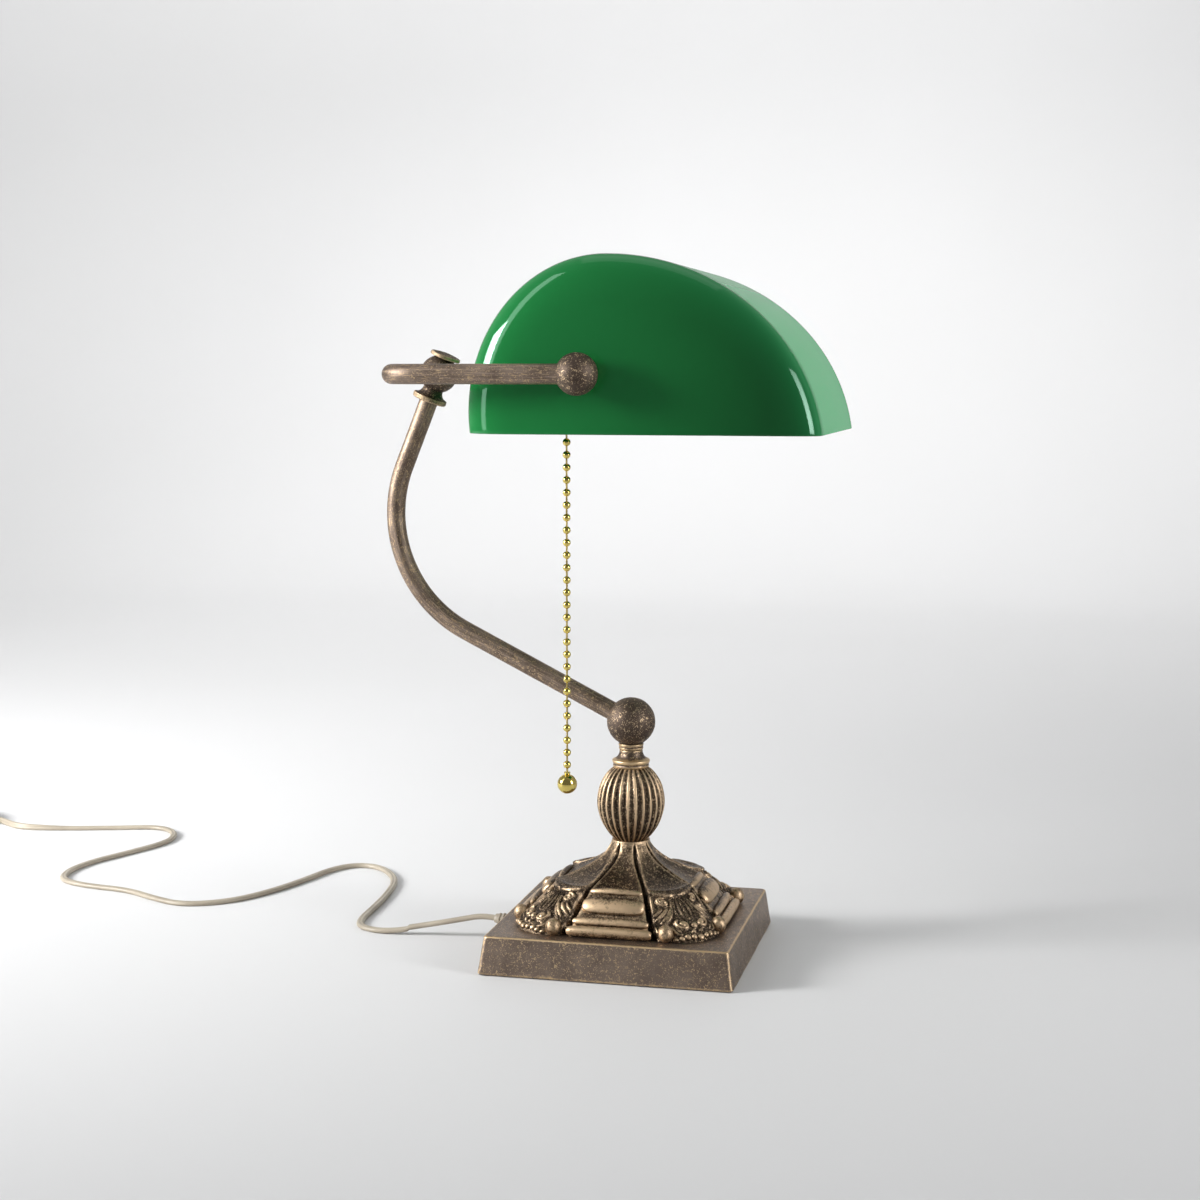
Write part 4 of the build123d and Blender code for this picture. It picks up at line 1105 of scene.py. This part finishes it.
def make_arm():
    """Arm tube: a straight rise, a long bend and a straight top under the clamp's flange."""
    span = CLAMP - SWIVEL
    run = (span.x * LEAN.z - span.z * LEAN.x) / (RISE.x * LEAN.z - RISE.z * LEAN.x)
    corner = SWIVEL + RISE * run
    path = bent_path([SWIVEL + RISE * 7.5, corner, CLAMP - LEAN * 17.2], [78.5])
    return bar("arm_bar", path, TUBE_R, TUBE, "arm", slot="bronze", replaces=("arm_tube",))


def make_clamp():
    """Flange, waisted neck and ball that carry the yoke."""
    neck = [(5.0, -17.2), (9.9, -17.2, 0.2), (10.35, -16.8, 0.6), (10.4, -16.0, 0.42),
            (10.4, -15.2, 0.42), (10.3, -14.5, 0.6), (9.7, -14.2, 0.3), (8.4, -13.9),
            (7.0, -12.6), (6.2, -10.9), (6.0, -9.6, 0.1)]
    shape = Shape().turned(neck + sphere(CLAMP_R, -58, 61, 20) + [(4.0, 9.8, 0.3)], CLAMP_PLACE, 72)
    return shape.make("clamp_ball", BALL, "arm", "bronze", "clamp_body", sharp=50)


def make_lock_screw():
    """Thumb disc with a worn rim and a shallow dome on top."""
    shape = Shape().turned([
        (0.0, 6.0), (3.0, 6.0), (3.0, 10.1), (8.4, 10.1, 0.1), (9.0, 10.35, 0.6), (9.2, 10.8, 0.5),
        (9.2, 11.7, 0.5), (9.0, 12.15, 0.62), (8.5, 12.4, 0.35), (7.8, 12.45), (6.0, 12.9),
        (3.0, 13.3), (0.0, 13.4),
    ], CLAMP_PLACE, 72)
    return shape.make("lock_disc", BALL, "lock_screw", "bronze", "lock_screw", sharp=30)


make_swivel()
make_arm()
make_clamp()
make_lock_screw()


# ---------------- yoke

ARM_Y = 101.0
PIVOT = Vector((-8.6, 0, 345.9))


def pivot_place(side):
    """Frame on the shade's tilt axis: local Z points outwards from the middle on that side."""
    turn = Matrix.Rotation(radians(90 if side < 0 else -90), 4, "X")
    return Matrix.Translation(PIVOT) @ turn


def make_yoke():
    start = PIVOT.x - 5
    corners = [Vector((start, -ARM_Y, PIVOT.z)), Vector((CLAMP.x, -ARM_Y, PIVOT.z)),
               Vector((CLAMP.x, ARM_Y, PIVOT.z)), Vector((start, ARM_Y, PIVOT.z))]
    return bar("yoke_bar", bent_path(corners, [18, 18]), TUBE_R, TUBE, "yoke", slot="bronze",
               replaces=("yoke_tube",))


def make_yoke_ball(side, name, node):
    """Ball on the end of a yoke arm, flat towards the shade."""
    radius, flat = 11.7, -10.3
    outline = [(5.0, ARM_Y + flat), (5.2, ARM_Y + flat, 0.6)]
    ball = sphere(radius, degrees(asin(flat / radius)), 90, 28, ARM_Y)
    outline += [(r, y, 0.12 if y < ARM_Y - 0.39 * radius else 0.0) for r, y in ball]
    shape = Shape().turned(outline, pivot_place(side), 72)
    return shape.make(name, BALL, "yoke", "bronze", node)


make_yoke()
make_yoke_ball(-1, "near_ball", "yoke_ball_near")
make_yoke_ball(1, "far_ball", "yoke_ball_far")


# ---------------- shade

SHADE_HALF_L, SHADE_LOW_Z = 89.0, 312.8
CROWN_X, CROWN_Z = 0.8, 411.6
BACK_A, BACK_B = 78.1, 87.1
FRONT_A, FRONT_B = 121.7, 112.9
GLASS_T = 3.0
DOME_IN, DOME_DEEP = 27.0, 15.0       # the ends curve back over this width, by this depth


def barrel(share, inset):
    """Point of the shade's outline, from its back rim at 0 to its front rim at 1."""
    back_centre, front_centre = CROWN_Z - BACK_B, CROWN_Z - FRONT_B
    back_low = asin((SHADE_LOW_Z - back_centre) / (BACK_B - inset))
    front_low = asin((SHADE_LOW_Z - front_centre) / (FRONT_B - inset))
    part = 0.46
    if share < part:
        t = back_low + (pi / 2 - back_low) * share / part
        x, z = CROWN_X - (BACK_A - inset) * cos(t), back_centre + (BACK_B - inset) * sin(t)
    else:
        t = pi / 2 + (front_low - pi / 2) * (share - part) / (1 - part)
        x, z = CROWN_X + (FRONT_A - inset) * cos(t), front_centre + (FRONT_B - inset) * sin(t)
    return Vector((x, 0, z))


def shade_rings():
    """Rings from near the middle of one end, over its rounded edge and along to the other."""
    steps = 110
    hub = Vector((22, 0, SHADE_LOW_Z))
    ends = [(0.3 + 0.7 * k / 10, DOME_IN, SHADE_HALF_L) for k in range(11)]
    for i in range(1, 15):
        t = pi / 2 * i / 14
        ends.append((1.0, DOME_IN * (1 - sin(t)), SHADE_HALF_L - DOME_DEEP * (1 - cos(t))))
    columns = [(scale, inset, -y) for scale, inset, y in ends]
    length = SHADE_HALF_L - DOME_DEEP
    columns += [(1.0, 0.0, -length + 2 * length * i / 30) for i in range(1, 30)]
    columns += [(scale, inset, y) for scale, inset, y in reversed(ends)]
    rings = []
    for scale, inset, y in columns:
        ring = []
        for k in range(steps + 1):
            p = barrel(k / steps, inset)
            p = hub + (p - hub) * scale
            ring.append(Vector((p.x, y, p.z)))
        rings.append(ring)
    return rings


def bore_ends(obj, radius):
    """Cuts the two pivot holes through the shade's ends."""
    reach = 120
    rod = [(0, -reach), (radius, -reach), (radius, reach), (0, reach)]
    cutter = Shape().turned(rod, pivot_place(1), 48).make("cutter", RUBBER, None)
    cut = obj.modifiers.new("holes", "BOOLEAN")
    cut.object = cutter
    cut.solver = "EXACT"
    bpy.context.view_layer.update()
    mesh = bpy.data.meshes.new_from_object(obj.evaluated_get(bpy.context.evaluated_depsgraph_get()))
    obj.modifiers.clear()
    obj.data = mesh
    bpy.data.objects.remove(cutter)
    mesh.set_sharp_from_angle(angle=radians(50))


def make_shade():
    """Half-barrel of thick glass, open below, with rounded ends and fire-polished rim."""
    rings = shade_rings()
    shape = Shape().skin(rings, closed=False)
    count, last = len(rings[0]), len(shape.verts)
    shape.faces.append(tuple(range(count)))
    shape.faces.append(tuple(range(last - 1, last - count - 1, -1)))
    obj = shape.make("glass_shade", GLASS, "shade", "green_glass", "shade_glass")
    work = bmesh.new()
    work.from_mesh(obj.data)
    bmesh.ops.remove_doubles(work, verts=work.verts, dist=0.05 * MM)
    bmesh.ops.recalc_face_normals(work, faces=work.faces)
    work.to_mesh(obj.data)
    work.free()
    thick = obj.modifiers.new("thickness", "SOLIDIFY")
    thick.thickness = GLASS_T * MM
    thick.offset = -1.0
    thick.use_even_offset = True
    edge = obj.modifiers.new("rim", "BEVEL")
    edge.width = 0.9 * MM
    edge.segments = 3
    edge.limit_method = "ANGLE"
    edge.angle_limit = radians(55)
    bore_ends(obj, 6.5)
    return obj


make_shade()


# ---------------- bulb, socket and chain

CHAIN = Vector((-22.9, -66.0, 0))
BEAD_R, BEAD_PITCH, BEADS, CHAIN_TOP_Z = 2.25, 7.05, 29, 322.1
KNOB_R, KNOB_Z = 5.65, 113.6


def make_bulb():
    """Pear-shaped bulb with a threaded base."""
    glass = rounded([(14.2, 28.0), (14.5, 20.0), (17.8, 8.0), (23.2, -5.0), (27.2, -17.0),
                     (26.9, -28.5), (22.4, -39.5), (14.0, -46.6), (6.0, -49.2), (0.0, -49.5)])
    shape = Shape().turned(glass, pivot_place(-1))
    shape.make("bulb_envelope", BULB, "yoke", "bulb_glass", "bulb_glass")
    cap = [(13.4, 28.0)]
    cap += [(12.7 + 0.4 * cos(2 * pi * k / 5), 30 + k * 0.72) for k in range(26)]
    cap += [(11.0, 49.6), (7.0, 51.0), (5.0, 51.6), (4.6, 53.6), (0.0, 54.2)]
    shape = Shape().turned(cap, pivot_place(-1), 48)
    shape.make("bulb_screw_cap", STEEL, "yoke", "steel", "bulb_base", sharp=60)


def make_bell():
    """Flared brass mouth that the chain hangs from."""
    outline = [(2.7, 337.0), (3.6, 337.0), (3.6, 331.5), (3.9, 331.0), (3.9, 330.2), (3.6, 329.8),
               (3.8, 328.0), (4.3, 326.4), (4.7, 325.4), (4.5, 325.25), (3.9, 325.25), (3.3, 327.0),
               (2.7, 329.5), (2.7, 337.0)]
    shape = Shape().turned(outline, Matrix.Translation(CHAIN), 48)
    return shape.make("bell_guide", BRASS, "yoke", "brass", "bell_mouth", sharp=30)


def make_chain():
    """Hollow beads, open at their poles, on dumbbell links, and the ball knob."""
    beads, links = Shape(), Shape()
    wire_r, joint = 0.55, BEAD_R * 0.7
    bead = sphere(BEAD_R, -70, 70, 14)
    bead = [(BEAD_R * 0.2, -BEAD_R * 0.86)] + bead + [(BEAD_R * 0.2, BEAD_R * 0.86)]
    for k in range(BEADS):
        z = CHAIN_TOP_Z - k * BEAD_PITCH
        place = Matrix.Translation(CHAIN + Vector((0, 0, z)))
        beads.turned(bead, place, 24)
        low = joint - BEAD_PITCH if k < BEADS - 1 else KNOB_Z + KNOB_R - z
        links.turned([(0, low), (wire_r, low), (wire_r, -joint), (0, -joint)], place, 12)
    beads.make("bead_chain", BRASS, "chain", "brass", "chain_beads")
    links.make("chain_wire", LINK, "chain", "brass", "chain_links", sharp=50)
    outline = sphere(KNOB_R, -90, 75, 30)
    outline += [(radius, KNOB_R + over) for radius, over in
                ((1.5, 0.1), (1.8, 0.4), (1.8, 1.1), (1.5, 1.4), (0.5, 1.4))]
    knob = Shape().turned(outline, Matrix.Translation(CHAIN + Vector((0, 0, KNOB_Z))))
    knob.make("ball_knob", BRASS, "chain", "brass", "pull_knob")


make_bulb()
make_bell()
make_chain()
